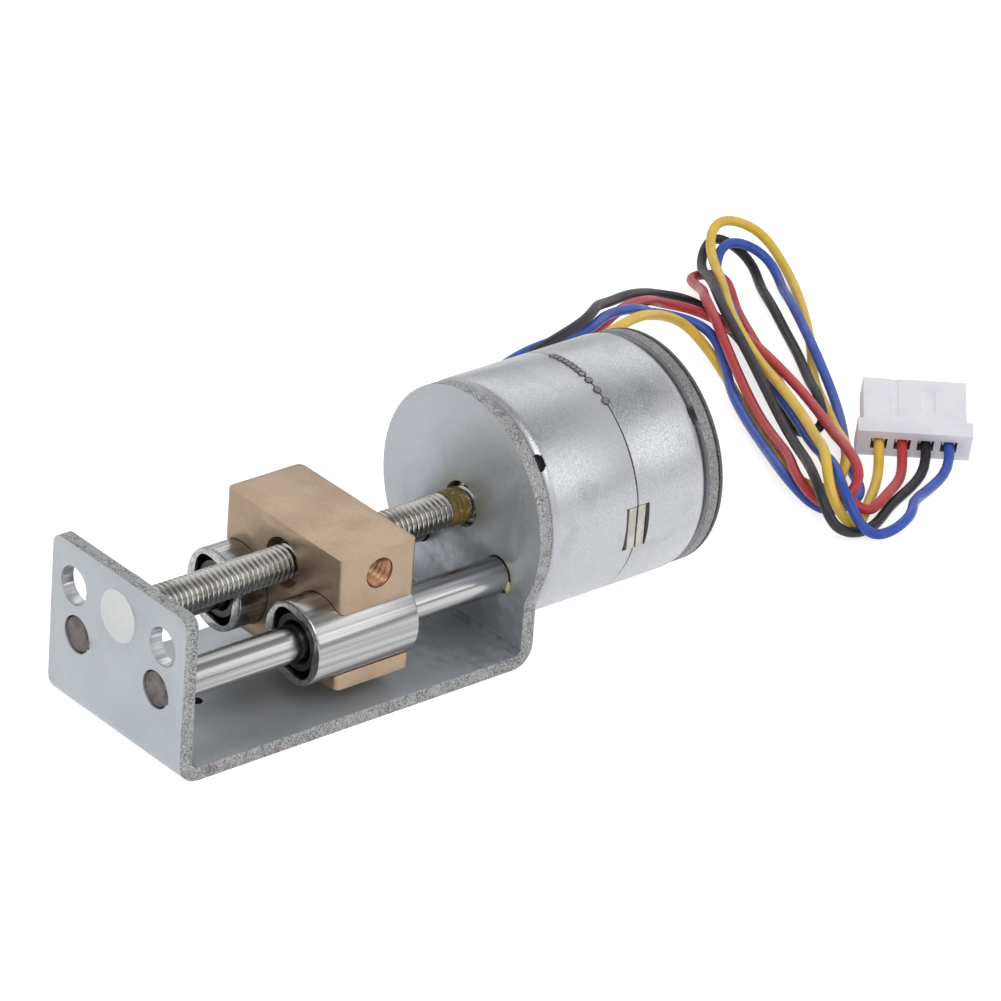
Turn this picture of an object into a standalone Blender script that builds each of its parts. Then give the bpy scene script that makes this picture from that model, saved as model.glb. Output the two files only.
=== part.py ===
"""Stepper motor linear slide: a small can motor on a bent sheet bracket turns a fine
lead screw, which carries a brass slider along two round guide rods.

The screw runs along +Y from the free end to the motor, +X is to the right when looking
along +Y, and +Z is up. The origin is the middle of the bracket's underside. Lengths are
written in millimetres, with y counted from the bracket's front face, and every piece is
then placed in metres from the origin.
"""
import math

import bmesh
import bpy
import numpy as np
from mathutils import Matrix, Vector

MM = 0.001

# Bracket: one strip of sheet bent up at both ends, the rear one round like the motor
SHEET = 1.2
BEND_R = 1.9
BEND_STEPS = 6
BRACKET_W = 17.2
FRONT_H = 14.6
CORNER_R = 1.0
SPAN = 34.2
CAN_D = 20.0
REAR_RIM = 0.05
REAR_D = CAN_D - 2 * REAR_RIM
REAR_STEPS = 40
NECK_R = 1.2
NECK_STEPS = 4
SCREW_Z = 11.05
ROD_Z = 7.0
ROD_SPACING = 10.2
MOUNT_SPACING = 11.5
MOUNT_D = 3.3
SCREW_HOLE_D = 3.9

# Clearances: between pieces that turn or slide, and between pieces that only touch
FIT = 0.1
SNUG = 0.05

# Guide rods and the screw
ROD_D = 3.0
ROD_INSET = 0.1
ROD_CHAMFER = 0.2
SCREW_D = 2.95
SCREW_GAP = 1.0
SCREW_START = SHEET + SCREW_GAP
SCREW_OVERHANG = 0.7
SCREW_END = SPAN + SCREW_OVERHANG
SCREW_CHAMFER = 0.25
PIVOT_D = 1.5
PIVOT_START = 0.7
SHAFT_D = 2.0
SHAFT_INSET = 0.8

# Front bearing of the screw
BEARING_D = 4.2
BEARING_BULGE = 0.2
BEARING_FLANGE_D = 6.0
BEARING_FLANGE_T = 0.7

# Slider and its two linear bushings
BUSHING_D = 7.0
BUSHING_L = 10.0
BUSHING_Y = 13.35
BUSHING_WALL = 0.55
BUSHING_CHAMFER = 0.15
CAGE_INSET = 0.35
CAGE_END = 2.0
BALL_SLOT_W = 0.9
BLOCK_W = 15.0
BLOCK_L = 7.5
BLOCK_OVERHANG = 0.2
BLOCK_Y = BUSHING_Y + BUSHING_L + BLOCK_OVERHANG - BLOCK_L
BLOCK_RISE = 3.4
BLOCK_TOP = SCREW_Z + BLOCK_RISE
BLOCK_FOOT = 0.55
BLOCK_BOTTOM = ROD_Z - BUSHING_D / 2 - BLOCK_FOOT
BLOCK_EDGE_R = 0.6
BLOCK_EDGE_STEPS = 3
MOUTH_CHAMFER = 0.35
NUT_MOUTH_D = 4.2
NUT_MOUTH_DEPTH = 1.4
SIDE_TAP_D = 2.6
SIDE_TAP_RISE = 1.45
SIDE_TAP_Z = SCREW_Z + SIDE_TAP_RISE
SIDE_TAP_DEPTH = 5.4

# Motor, whose can is as wide as CAN_D above
CAN_WALL = 0.6
CAN_END = 0.7
CAN_BEND_R = 0.9
CAN_BEND_STEPS = 3
FRONT_CAN_L = 8.9
REAR_CAN_L = 7.6
SHOULDER_R = 1.1
MOTOR_Y = SPAN + SHEET + FIT
SEAM_Y = MOTOR_Y + FRONT_CAN_L
CAN_REAR_Y = SEAM_Y + REAR_CAN_L
COVER_T = 1.6
COVER_EDGE = 0.2
COVER_SKIN = 0.5
BUSH_D = 6.0
BUSH_FLANGE_D = 7.6
BUSH_FLANGE_T = 0.6
BUSH_NOSE = 1.8
COLLAR_D = 3.5
WASHER_D = 4.6
WASHER_T = 0.4
HUB_D = 5.0
ROTOR_D = 9.8
ROTOR_INSET = 0.3
POLE_R = 5.1
POLE_T = 0.6
POLE_PAIRS = 5
POLE_PITCH = 360 / POLE_PAIRS
POLE_GAP = 4.4
POLE_END_GAP = 0.5
YOKE_T = 0.75
BOBBIN_WALL = 0.4
COIL_INSET = 0.3
WINDOW_W = 2.4
WINDOW_H = 3.9
WINDOW_DROP = 2.5
WINDOW_LOW = SCREW_Z - WINDOW_DROP
WINDOW_Z = (WINDOW_LOW, WINDOW_LOW + WINDOW_H)
TAB_ROOT = 0.8
TAB_INSET = 0.15
TAB_X = (CAN_D / 2 - CAN_WALL - TAB_ROOT, CAN_D / 2 - TAB_INSET)

# Terminals on the left side of the motor
TERMINAL_W = 5.6
TERMINAL_H = 7.1
TERMINAL_REACH = 3.2
TERMINAL_X = -CAN_D / 2 - TERMINAL_REACH
TERMINAL_Y = (SEAM_Y - TERMINAL_W / 2, SEAM_Y + TERMINAL_W / 2)
TERMINAL_DROP = 2.5
TERMINAL_MID = SCREW_Z - TERMINAL_DROP
TERMINAL_Z = (TERMINAL_MID - TERMINAL_H / 2, TERMINAL_MID + TERMINAL_H / 2)
PIN_SPACING = 2.2
ROW_SPACING = 3.5
TERMINALS = {
    "yellow": (SEAM_Y - PIN_SPACING / 2, TERMINAL_MID - ROW_SPACING / 2),
    "red": (SEAM_Y + PIN_SPACING / 2, TERMINAL_MID - ROW_SPACING / 2),
    "blue": (SEAM_Y - PIN_SPACING / 2, TERMINAL_MID + ROW_SPACING / 2),
    "black": (SEAM_Y + PIN_SPACING / 2, TERMINAL_MID + ROW_SPACING / 2),
}
POCKET_D = 1.6
POCKET_DEPTH = 1.2
PIN_D = 0.6
PIN_X = (TERMINAL_X + POCKET_DEPTH, -CAN_D / 2 + CAN_WALL - SNUG)
PIN_STEPS = 12
POCKET_STEPS = 16

# Connector on the loose end
PITCH = 2.0
HOUSING_W = 8.9
HOUSING_T = 3.0
HOUSING_L = 6.0
LIP_W = 9.9
LIP_T = 3.4
LIP_L = 1.5
HOUSING_CORNER = (-4.4, 82.3, 0.02)
HOUSING_TURN = 50.8
HOUSING_TILT = 25.0
CAVITY_SIDE = 1.4
CONTACT_SIDE = 1.1
CONTACT_START = 0.9
CONTACT_INSET = 0.6

# Wires, in their order along the connector, each with the points of its route
WIRE_D = 0.9
WIRE_START_X = PIN_X[0] - 2 * FIT
WIRE_LEAD_IN = -1.3
WIRE_END = 0.75
ROUTES = {
    "yellow": [
        (-15.0, 44.1, 6.8), (-18.0, 49.1, 7.5), (-17.9, 54.1, 8.4), (-16.7, 59.4, 10.2),
        (-16.8, 64.2, 11.3), (-18.4, 68.7, 10.8), (-21.1, 73.0, 8.7), (-24.1, 77.4, 6.1),
        (-24.5, 80.7, 3.8), (-22.2, 82.0, 1.3), (-18.1, 80.6, 0.5), (-11.9, 77.9, 0.6),
        (-6.6, 75.3, 1.1), (-2.5, 73.9, 0.9), (-0.2, 75.7, 0.6), (-1.1, 78.1, 2.2),
        (-5.1, 81.0, 2.0), (-10.3, 84.5, 0.9), (-15.4, 87.6, 0.7), (-20.3, 91.5, 0.9),
        (-25.3, 95.1, 1.2), (-30.5, 98.7, 0.7), (-34.6, 100.8, 0.9), (-37.8, 100.4, 2.8),
        (-39.2, 97.4, 4.0), (-37.1, 94.1, 3.4), (-32.9, 91.5, 2.8), (-28.1, 88.1, 3.4),
        (-23.6, 85.1, 3.9), (-18.2, 82.9, 3.3), (-12.3, 80.5, 3.6), (-6.5, 78.0, 3.8),
        (-1.8, 75.3, 4.5), (2.3, 72.4, 5.3), (5.0, 71.0, 3.4), (6.1, 72.5, 0.8), (4.3, 75.8, 0.7),
    ],
    "red": [
        (-15.0, 46.3, 6.8), (-17.6, 51.2, 8.8), (-18.3, 56.3, 10.0), (-18.8, 61.7, 9.7),
        (-20.7, 67.1, 9.7), (-23.2, 71.7, 9.0), (-25.6, 76.4, 7.3), (-27.9, 80.4, 5.0),
        (-27.3, 83.8, 3.6), (-24.0, 85.4, 2.8), (-19.2, 84.5, 3.0), (-13.5, 82.9, 3.0),
        (-7.8, 80.9, 3.0), (-2.9, 78.4, 3.6), (1.7, 75.7, 4.8), (4.9, 73.6, 3.7), (4.2, 71.6, 2.2),
        (1.2, 71.1, 2.8), (-3.1, 73.4, 2.7), (-8.4, 76.0, 2.1), (-14.0, 78.6, 2.2),
        (-19.4, 81.0, 3.3), (-24.5, 83.4, 4.4), (-28.7, 86.0, 3.9), (-33.2, 89.4, 2.0),
        (-36.5, 92.3, 1.0), (-35.7, 93.9, 0.9), (-32.7, 93.1, 0.5), (-27.9, 90.0, 0.9),
        (-22.5, 87.5, 0.7), (-17.0, 84.9, 0.6), (-11.1, 81.7, 1.4), (-5.6, 78.5, 2.0),
        (-0.8, 75.7, 2.3), (3.2, 73.4, 2.7), (5.7, 74.2, 1.6), (5.1, 76.8, 1.6),
    ],
    "black": [
        (-15.0, 46.3, 10.3), (-15.9, 51.3, 11.3), (-16.0, 56.7, 12.6), (-17.1, 61.4, 13.0),
        (-19.8, 65.1, 12.1), (-23.0, 69.3, 10.1), (-25.7, 74.0, 8.4), (-28.4, 78.8, 6.2),
        (-30.5, 83.0, 4.0), (-30.0, 86.3, 2.5), (-27.0, 87.8, 0.9), (-22.9, 86.5, 0.7),
        (-17.2, 83.8, 1.0), (-12.6, 81.3, 1.3), (-9.2, 80.4, 0.6), (-8.1, 81.4, 1.2),
        (-9.7, 82.9, 2.4), (-13.9, 85.7, 1.7), (-18.8, 88.8, 1.2), (-24.0, 91.7, 1.0),
        (-28.9, 94.2, 1.1), (-33.3, 96.9, 0.5), (-36.8, 98.0, 1.5), (-38.6, 96.1, 2.8),
        (-37.3, 93.4, 2.1), (-33.4, 90.6, 2.7), (-28.8, 87.4, 4.1), (-24.2, 84.5, 4.6),
        (-19.1, 82.2, 4.1), (-13.4, 79.7, 3.2), (-8.1, 77.2, 2.7), (-3.4, 74.6, 3.2),
        (1.4, 71.4, 4.6), (4.8, 69.6, 4.2), (6.8, 69.9, 1.8), (7.1, 73.1, 0.6), (5.1, 77.7, 0.6),
    ],
    "blue": [
        (-15.0, 44.1, 10.3), (-17.1, 49.7, 10.1), (-17.6, 55.4, 11.3), (-17.4, 61.9, 11.8),
        (-19.7, 66.2, 11.0), (-21.7, 71.3, 9.5), (-24.6, 75.9, 6.7), (-26.2, 79.5, 4.8),
        (-24.2, 82.3, 3.5), (-20.6, 81.5, 1.9), (-16.1, 78.6, 1.6), (-10.7, 76.1, 1.3),
        (-5.2, 73.4, 1.8), (-0.7, 71.7, 1.8), (2.5, 72.7, 0.6), (2.7, 76.0, 0.7),
        (-1.1, 79.1, 0.6), (-6.4, 82.9, 0.5), (-11.5, 86.5, 0.7), (-16.9, 89.2, 1.9),
        (-22.6, 92.1, 2.5), (-27.4, 94.9, 2.1), (-31.6, 97.9, 0.9), (-35.0, 98.6, 2.1),
        (-36.8, 96.1, 3.1), (-35.1, 93.2, 1.8), (-30.8, 90.6, 1.6), (-25.7, 87.5, 1.9),
        (-20.1, 84.6, 1.7), (-14.2, 81.5, 2.4), (-8.0, 78.7, 2.6), (-2.5, 76.0, 3.1),
        (2.4, 73.4, 4.4), (6.1, 71.7, 3.4), (8.5, 72.7, 1.0), (8.8, 75.9, 1.4), (6.1, 79.6, 1.0),
    ],
}

# Facets round a turned piece
FINE_STEPS = 40
ROUND_STEPS = 32
PLAIN_STEPS = 24
HIDDEN_STEPS = 20

OVERCUT = 1.0
ORIGIN = Vector((0.0, (SPAN + SHEET) / 2, 0.0))

ZINC = ((0.60, 0.63, 0.67), 0.38, 1.0)
STEEL = ((0.72, 0.73, 0.75), 0.20, 1.0)
SCREW_STEEL = ((0.66, 0.66, 0.66), 0.28, 1.0)
TIN = ((0.63, 0.64, 0.66), 0.35, 1.0)
YOKE_STEEL = ((0.55, 0.55, 0.56), 0.4, 1.0)
BRASS = ((0.62, 0.47, 0.32), 0.42, 1.0)
BRONZE = ((0.45, 0.33, 0.20), 0.5, 1.0)
COPPER = ((0.60, 0.25, 0.10), 0.4, 1.0)
MAGNET = ((0.10, 0.10, 0.11), 0.45, 0.3)
BEARING_PLASTIC = ((0.86, 0.86, 0.84), 0.45, 0.0)
BLACK_PLASTIC = ((0.02, 0.02, 0.022), 0.5, 0.0)
MOTOR_PLASTIC = ((0.55, 0.53, 0.48), 0.5, 0.0)
TERMINAL_PLASTIC = ((0.80, 0.78, 0.72), 0.5, 0.0)
HOUSING_PLASTIC = ((0.82, 0.83, 0.88), 0.4, 0.0)
TINNED = ((0.70, 0.68, 0.62), 0.3, 1.0)
CONTACT_METAL = ((0.62, 0.52, 0.34), 0.35, 1.0)
JACKETS = {
    "yellow": ((0.68, 0.46, 0.04), 0.45, 0.0),
    "red": ((0.54, 0.05, 0.05), 0.45, 0.0),
    "black": ((0.03, 0.03, 0.04), 0.45, 0.0),
    "blue": ((0.04, 0.09, 0.48), 0.45, 0.0),
}


def clear_scene():
    for found in list(bpy.data.objects):
        bpy.data.objects.remove(found)


def new_collection(name):
    made = bpy.data.collections.new(name)
    bpy.context.scene.collection.children.link(made)
    return made


def material(name, colour, roughness, metallic):
    made = bpy.data.materials.new(name)
    made.use_nodes = True
    shader = made.node_tree.nodes["Principled BSDF"]
    shader.inputs["Base Color"].default_value = (*colour, 1.0)
    shader.inputs["Roughness"].default_value = roughness
    shader.inputs["Metallic"].default_value = metallic
    return made


def new_object(name, bm, origin):
    """An object in metres from a mesh drawn in millimetres, with its origin at a place."""
    bmesh.ops.translate(bm, verts=bm.verts, vec=-Vector(origin))
    bmesh.ops.scale(bm, verts=bm.verts, vec=(MM, MM, MM))
    mesh = bpy.data.meshes.new(name)
    bm.to_mesh(mesh)
    bm.free()
    made = bpy.data.objects.new(name, mesh)
    made.location = (Vector(origin) - ORIGIN) * MM
    return made


def as_part(made, look):
    made.data.materials.append(material(made.name + "_material", *look))
    parts.objects.link(made)
    return made


def as_cutter(made):
    """A helper solid that is only cut from parts or joined to them."""
    made.hide_render = True
    made.display_type = "WIRE"
    cutters.objects.link(made)
    return made


def part(name, bm, look, origin=(0.0, 0.0, 0.0)):
    return as_part(new_object(name, bm, origin), look)


def cutter(name, bm):
    return as_cutter(new_object(name, bm, (0.0, 0.0, 0.0)))


def combine(target, tool, operation):
    modifier = target.modifiers.new(tool.name, "BOOLEAN")
    modifier.operation = operation
    modifier.solver = "EXACT"
    modifier.object = tool


def cut(target, tool):
    combine(target, tool, "DIFFERENCE")


def join(target, tool):
    combine(target, tool, "UNION")


def box(bm, low, high):
    """Adds a box between two corners, and gives its points."""
    size = Vector(high) - Vector(low)
    middle = (Vector(high) + Vector(low)) / 2
    place = Matrix.Translation(middle) @ Matrix.Diagonal((*size, 1.0))
    return bmesh.ops.create_cube(bm, size=1.0, matrix=place)["verts"]


def bar_along_y(bm, centre, diameter, start, end, sides=ROUND_STEPS):
    """Adds a round bar along Y, with its axis at (x, z)."""
    middle = Vector((centre[0], (start + end) / 2, centre[1]))
    turn = Matrix.Rotation(math.radians(90), 4, "X")
    add_bar(bm, Matrix.Translation(middle) @ turn, diameter, end - start, sides)


def bar_along_x(bm, centre, diameter, start, end, sides=ROUND_STEPS):
    """Adds a round bar along X, with its axis at (y, z)."""
    middle = Vector(((start + end) / 2, *centre))
    turn = Matrix.Rotation(math.radians(90), 4, "Y")
    add_bar(bm, Matrix.Translation(middle) @ turn, diameter, end - start, sides)


def add_bar(bm, place, diameter, length, sides):
    bmesh.ops.create_cone(
        bm,
        cap_ends=True,
        segments=sides,
        radius1=diameter / 2,
        radius2=diameter / 2,
        depth=length,
        matrix=place,
    )


def lathe(name, profile, centre, sides, ring):
    """Turns (radius, y) points about an axis along Y. They run up the outer side."""
    start = profile[0][1]
    bm = bmesh.new()
    points = [bm.verts.new((r, 0.0, y - start)) for r, y in reversed(profile)]
    for first, second in zip(points, points[1:]):
        bm.edges.new((first, second))
    if ring:
        bm.edges.new((points[-1], points[0]))
    made = new_object(name, bm, (0.0, 0.0, 0.0))
    screw = made.modifiers.new("turn", "SCREW")
    screw.axis = "Z"
    screw.steps = sides
    screw.render_steps = sides
    screw.use_merge_vertices = True
    screw.merge_threshold = 1e-6
    bpy.context.scene.collection.objects.link(made)
    graph = bpy.context.evaluated_depsgraph_get()
    mesh = bpy.data.meshes.new_from_object(made.evaluated_get(graph))
    bpy.context.scene.collection.objects.unlink(made)
    made.modifiers.clear()
    made.data = mesh
    mesh.transform(Matrix.Rotation(math.radians(-90), 4, "X"))
    mesh.shade_smooth()
    mesh.set_sharp_from_angle(angle=math.radians(30))
    made.location = (Vector((centre[0], start, centre[1])) - ORIGIN) * MM
    return made


def turned(name, profile, look, sides=ROUND_STEPS, centre=(0.0, SCREW_Z), ring=True):
    return as_part(lathe(name, profile, centre, sides, ring), look)


def sleeve(name, inner, outer, span, look, sides=ROUND_STEPS, chamfer=0.0, centre=(0.0, SCREW_Z)):
    """A ring between two diameters, with its outer edges chamfered where asked."""
    start, end = span
    profile = [(inner / 2, start)]
    if chamfer:
        profile += [(outer / 2 - chamfer, start), (outer / 2, start + chamfer)]
        profile += [(outer / 2, end - chamfer), (outer / 2 - chamfer, end)]
    else:
        profile += [(outer / 2, start), (outer / 2, end)]
    profile.append((inner / 2, end))
    return turned(name, profile, look, sides, centre)


def arc(centre, radius, first, last, steps):
    """Points on an arc, with its angles in degrees."""
    found = []
    for angle in np.radians(np.linspace(first, last, steps + 1)):
        found.append((centre[0] + radius * math.cos(angle), centre[1] + radius * math.sin(angle)))
    return found


def front_outline():
    """The front plate above its bend, as (x, z) from bottom left over the top."""
    half = BRACKET_W / 2
    inner = half - CORNER_R
    top = FRONT_H - CORNER_R
    left = arc((-inner, top), CORNER_R, 180, 90, 5)
    right = arc((inner, top), CORNER_R, 90, 0, 5)
    return [(-half, BEND_R), *left, *right, (half, BEND_R)]


def rear_outline():
    """The rear plate above its bend: a round head on a neck as wide as the strip."""
    half = BRACKET_W / 2
    radius = REAR_D / 2
    across = half + NECK_R
    down = math.sqrt((radius + NECK_R) ** 2 - across**2)
    angle = math.degrees(math.atan2(down, across))
    corner = (across, SCREW_Z - down)
    fillet = arc(corner, NECK_R, 180 - angle, 180, NECK_STEPS)
    head = arc((0.0, SCREW_Z), radius, 180 + angle, -angle, REAR_STEPS)
    left = [(-x, z) for x, z in reversed(fillet)]
    return [(-half, BEND_R), *left, *head[1:-1], *fillet, (half, BEND_R)]


def make_bracket():
    """The sheet's outer side is drawn, and given its thickness inwards."""
    end = SPAN + SHEET
    bm = bmesh.new()
    bends = arc((BEND_R, BEND_R), BEND_R, 180, 270, BEND_STEPS)
    bends += arc((end - BEND_R, BEND_R), BEND_R, 270, 360, BEND_STEPS)
    path = [bm.verts.new((-BRACKET_W / 2, y, z)) for y, z in bends]
    edges = [bm.edges.new(pair) for pair in zip(path, path[1:])]
    swept = bmesh.ops.extrude_edge_only(bm, edges=edges)["geom"]
    moved = [item for item in swept if isinstance(item, bmesh.types.BMVert)]
    bmesh.ops.translate(bm, verts=moved, vec=(BRACKET_W, 0.0, 0.0))
    bm.faces.new([bm.verts.new((x, 0.0, z)) for x, z in front_outline()])
    bm.faces.new([bm.verts.new((x, end, z)) for x, z in rear_outline()])
    bmesh.ops.remove_doubles(bm, verts=bm.verts, dist=1e-3)
    bmesh.ops.recalc_face_normals(bm, faces=bm.faces)
    bracket = part("bracket", bm, ZINC)
    wall = bracket.modifiers.new("sheet", "SOLIDIFY")
    wall.thickness = SHEET * MM
    wall.offset = -1.0
    wall.use_even_offset = True

    bm = bmesh.new()
    front = (-OVERCUT, SHEET + OVERCUT)
    rear = (SPAN - OVERCUT, end + OVERCUT)
    bar_along_y(bm, (0.0, SCREW_Z), BEARING_D + 2 * FIT, *front)
    bar_along_y(bm, (0.0, SCREW_Z), SCREW_HOLE_D, *rear)
    for side in (-1, 1):
        rod = (side * ROD_SPACING / 2, ROD_Z)
        bar_along_y(bm, (side * MOUNT_SPACING / 2, SCREW_Z), MOUNT_D, *front)
        bar_along_y(bm, rod, ROD_D + 2 * FIT, *front)
        bar_along_y(bm, rod, ROD_D + 2 * FIT, *rear)
    cut(bracket, cutter("bracket_holes", bm))


def make_guide_rod(word, side):
    radius = ROD_D / 2
    start = ROD_INSET
    end = SPAN + SHEET - ROD_INSET
    profile = [
        (0.0, start),
        (radius - ROD_CHAMFER, start),
        (radius, start + ROD_CHAMFER),
        (radius, end - ROD_CHAMFER),
        (radius - ROD_CHAMFER, end),
        (0.0, end),
    ]
    centre = (side * ROD_SPACING / 2, ROD_Z)
    turned("guide_rod_" + word, profile, STEEL, PLAIN_STEPS, centre, ring=False)


def make_screw():
    shaft_end = CAN_REAR_Y + FIT + COVER_T - SHAFT_INSET
    profile = [
        (0.0, PIVOT_START),
        (PIVOT_D / 2 - SCREW_CHAMFER, PIVOT_START),
        (PIVOT_D / 2, PIVOT_START + SCREW_CHAMFER),
        (PIVOT_D / 2, SCREW_START),
        (SCREW_D / 2 - SCREW_CHAMFER, SCREW_START),
        (SCREW_D / 2, SCREW_START + SCREW_CHAMFER),
        (SCREW_D / 2, SCREW_END),
        (SHAFT_D / 2, SCREW_END),
        (SHAFT_D / 2, shaft_end),
        (0.0, shaft_end),
    ]
    turned("lead_screw", profile, SCREW_STEEL, PLAIN_STEPS, ring=False)


def make_front_bearing():
    """A plastic cup with a flange behind the plate, which holds the screw's pivot."""
    flange_start = SHEET + FIT
    end = flange_start + BEARING_FLANGE_T
    profile = [
        (0.0, -BEARING_BULGE),
        (BEARING_D / 2 - BEARING_BULGE, -BEARING_BULGE),
        (BEARING_D / 2, 0.0),
        (BEARING_D / 2, flange_start),
        (BEARING_FLANGE_D / 2, flange_start),
        (BEARING_FLANGE_D / 2, end),
        (PIVOT_D / 2 + FIT, end),
        (PIVOT_D / 2 + FIT, PIVOT_START - FIT),
        (0.0, PIVOT_START - FIT),
    ]
    turned("front_bearing", profile, BEARING_PLASTIC, PLAIN_STEPS, ring=False)


def bore_with_mouths(name, diameter, centre, mouths, sides):
    """A cutter for a bore through the block, chamfered at the mouths named."""
    start = BLOCK_Y
    end = BLOCK_Y + BLOCK_L
    radius = diameter / 2
    profile = [(0.0, start - OVERCUT)]
    if "front" in mouths:
        profile += [(radius + MOUTH_CHAMFER + OVERCUT, start - OVERCUT)]
        profile += [(radius, start + MOUTH_CHAMFER)]
    else:
        profile += [(radius, start - OVERCUT)]
    if "rear" in mouths:
        profile += [(radius, end - MOUTH_CHAMFER)]
        profile += [(radius + MOUTH_CHAMFER + OVERCUT, end + OVERCUT)]
    else:
        profile += [(radius, end + OVERCUT)]
    profile.append((0.0, end + OVERCUT))
    return as_cutter(lathe(name, profile, centre, sides, False))


def make_block():
    bm = bmesh.new()
    rear = BLOCK_Y + BLOCK_L
    box(bm, (-BLOCK_W / 2, BLOCK_Y, BLOCK_BOTTOM), (BLOCK_W / 2, rear, BLOCK_TOP))
    upright = [e for e in bm.edges if abs(e.verts[0].co.z - e.verts[1].co.z) > 1.0]
    bmesh.ops.bevel(
        bm,
        geom=upright,
        offset=BLOCK_EDGE_R,
        segments=BLOCK_EDGE_STEPS,
        profile=0.5,
        affect="EDGES",
    )
    block = part("slider_block", bm, BRASS, (0.0, BLOCK_Y + BLOCK_L / 2, SCREW_Z))
    for side, word in ((-1, "left"), (1, "right")):
        centre = (side * ROD_SPACING / 2, ROD_Z)
        bore = BUSHING_D + 2 * SNUG
        cut(block, bore_with_mouths("bore_" + word, bore, centre, ("front", "rear"), ROUND_STEPS))
    nut = bore_with_mouths("nut_bore", SCREW_D + 2 * FIT, (0.0, SCREW_Z), ("rear",), PLAIN_STEPS)
    cut(block, nut)
    bm = bmesh.new()
    mouth_end = BLOCK_Y + NUT_MOUTH_DEPTH
    bar_along_y(bm, (0.0, SCREW_Z), NUT_MOUTH_D, BLOCK_Y - OVERCUT, mouth_end, PLAIN_STEPS)
    tap = (BLOCK_Y + BLOCK_L / 2, SIDE_TAP_Z)
    tap_start = BLOCK_W / 2 - SIDE_TAP_DEPTH
    bar_along_x(bm, tap, SIDE_TAP_D, tap_start, BLOCK_W / 2 + OVERCUT, PLAIN_STEPS)
    cut(block, cutter("block_holes", bm))


def make_bushing(word, side):
    """A steel sleeve round a black cage that rides on the rod, open for its balls."""
    centre = (side * ROD_SPACING / 2, ROD_Z)
    end = BUSHING_Y + BUSHING_L
    bore = BUSHING_D - 2 * BUSHING_WALL
    span = (BUSHING_Y, end)
    name = "bushing_sleeve_" + word
    sleeve(name, bore, BUSHING_D, span, STEEL, ROUND_STEPS, BUSHING_CHAMFER, centre)
    span = (BUSHING_Y + CAGE_INSET, end - CAGE_INSET)
    name = "bushing_cage_" + word
    inner = ROD_D + 2 * FIT
    outer = bore - 2 * FIT
    cage = sleeve(name, inner, outer, span, BLACK_PLASTIC, PLAIN_STEPS, 0.0, centre)
    for axis in ("Z", "X"):
        bm = bmesh.new()
        half = Vector((BALL_SLOT_W / 2, 0.0, BUSHING_D))
        if axis == "X":
            half = half.zyx
        low = Vector((centre[0], BUSHING_Y + CAGE_END, centre[1])) - half
        high = Vector((centre[0], end - CAGE_END, centre[1])) + half
        box(bm, low, high)
        cut(cage, cutter(f"ball_slots_{word}_{axis}", bm))


def make_shaft_parts():
    """The bushes, washers and rotor, in their order from the bracket to the rear."""
    shaft = SHAFT_D + 2 * SNUG
    inside = MOTOR_Y + CAN_END + FIT
    bush_end = inside + BUSH_NOSE
    hub_start = bush_end + WASHER_T + 2 * FIT
    rear = CAN_REAR_Y - CAN_END
    rear_start = rear - FIT - BUSH_FLANGE_T
    hub_end = rear_start - WASHER_T - 2 * FIT
    sleeve("thrust_collar", shaft, COLLAR_D, (SCREW_END + FIT, MOTOR_Y - FIT), STEEL, HIDDEN_STEPS)
    profile = [
        (shaft / 2, MOTOR_Y),
        (BUSH_D / 2, MOTOR_Y),
        (BUSH_D / 2, inside),
        (BUSH_FLANGE_D / 2, inside),
        (BUSH_FLANGE_D / 2, inside + BUSH_FLANGE_T),
        (WASHER_D / 2, inside + BUSH_FLANGE_T),
        (WASHER_D / 2, bush_end),
        (shaft / 2, bush_end),
    ]
    turned("front_bush", profile, BRONZE, HIDDEN_STEPS)
    sleeve("thrust_washer", shaft, WASHER_D, (bush_end + FIT, hub_start - FIT), STEEL, HIDDEN_STEPS)
    sleeve("rotor_hub", shaft, HUB_D, (hub_start, hub_end), MOTOR_PLASTIC, HIDDEN_STEPS)
    span = (hub_start + ROTOR_INSET, hub_end - ROTOR_INSET)
    sleeve("rotor_magnet", HUB_D + 2 * SNUG, ROTOR_D, span, MAGNET, HIDDEN_STEPS)
    span = (hub_end + FIT, rear_start - FIT)
    sleeve("preload_washer", shaft, WASHER_D, span, STEEL, HIDDEN_STEPS)
    end = CAN_REAR_Y + FIT + COVER_T - COVER_SKIN - FIT
    profile = [
        (shaft / 2, rear_start),
        (BUSH_FLANGE_D / 2, rear_start),
        (BUSH_FLANGE_D / 2, rear - FIT),
        (BUSH_D / 2, rear - FIT),
        (BUSH_D / 2, end),
        (shaft / 2, end),
    ]
    turned("rear_bush", profile, BRONZE, HIDDEN_STEPS)


def can_openings(name, window, terminals):
    """Cuts the small window on the right and the terminal opening on the left."""
    bm = bmesh.new()
    box(bm, (CAN_D / 2 - 2.0, window[0], WINDOW_Z[0]), (CAN_D / 2 + 2.0, window[1], WINDOW_Z[1]))
    low = (-CAN_D / 2 - 2.0, terminals[0], TERMINAL_Z[0] - FIT)
    high = (-CAN_D / 2 + 2.5, terminals[1], TERMINAL_Z[1] + FIT)
    box(bm, low, high)
    return cutter(name, bm)


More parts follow.
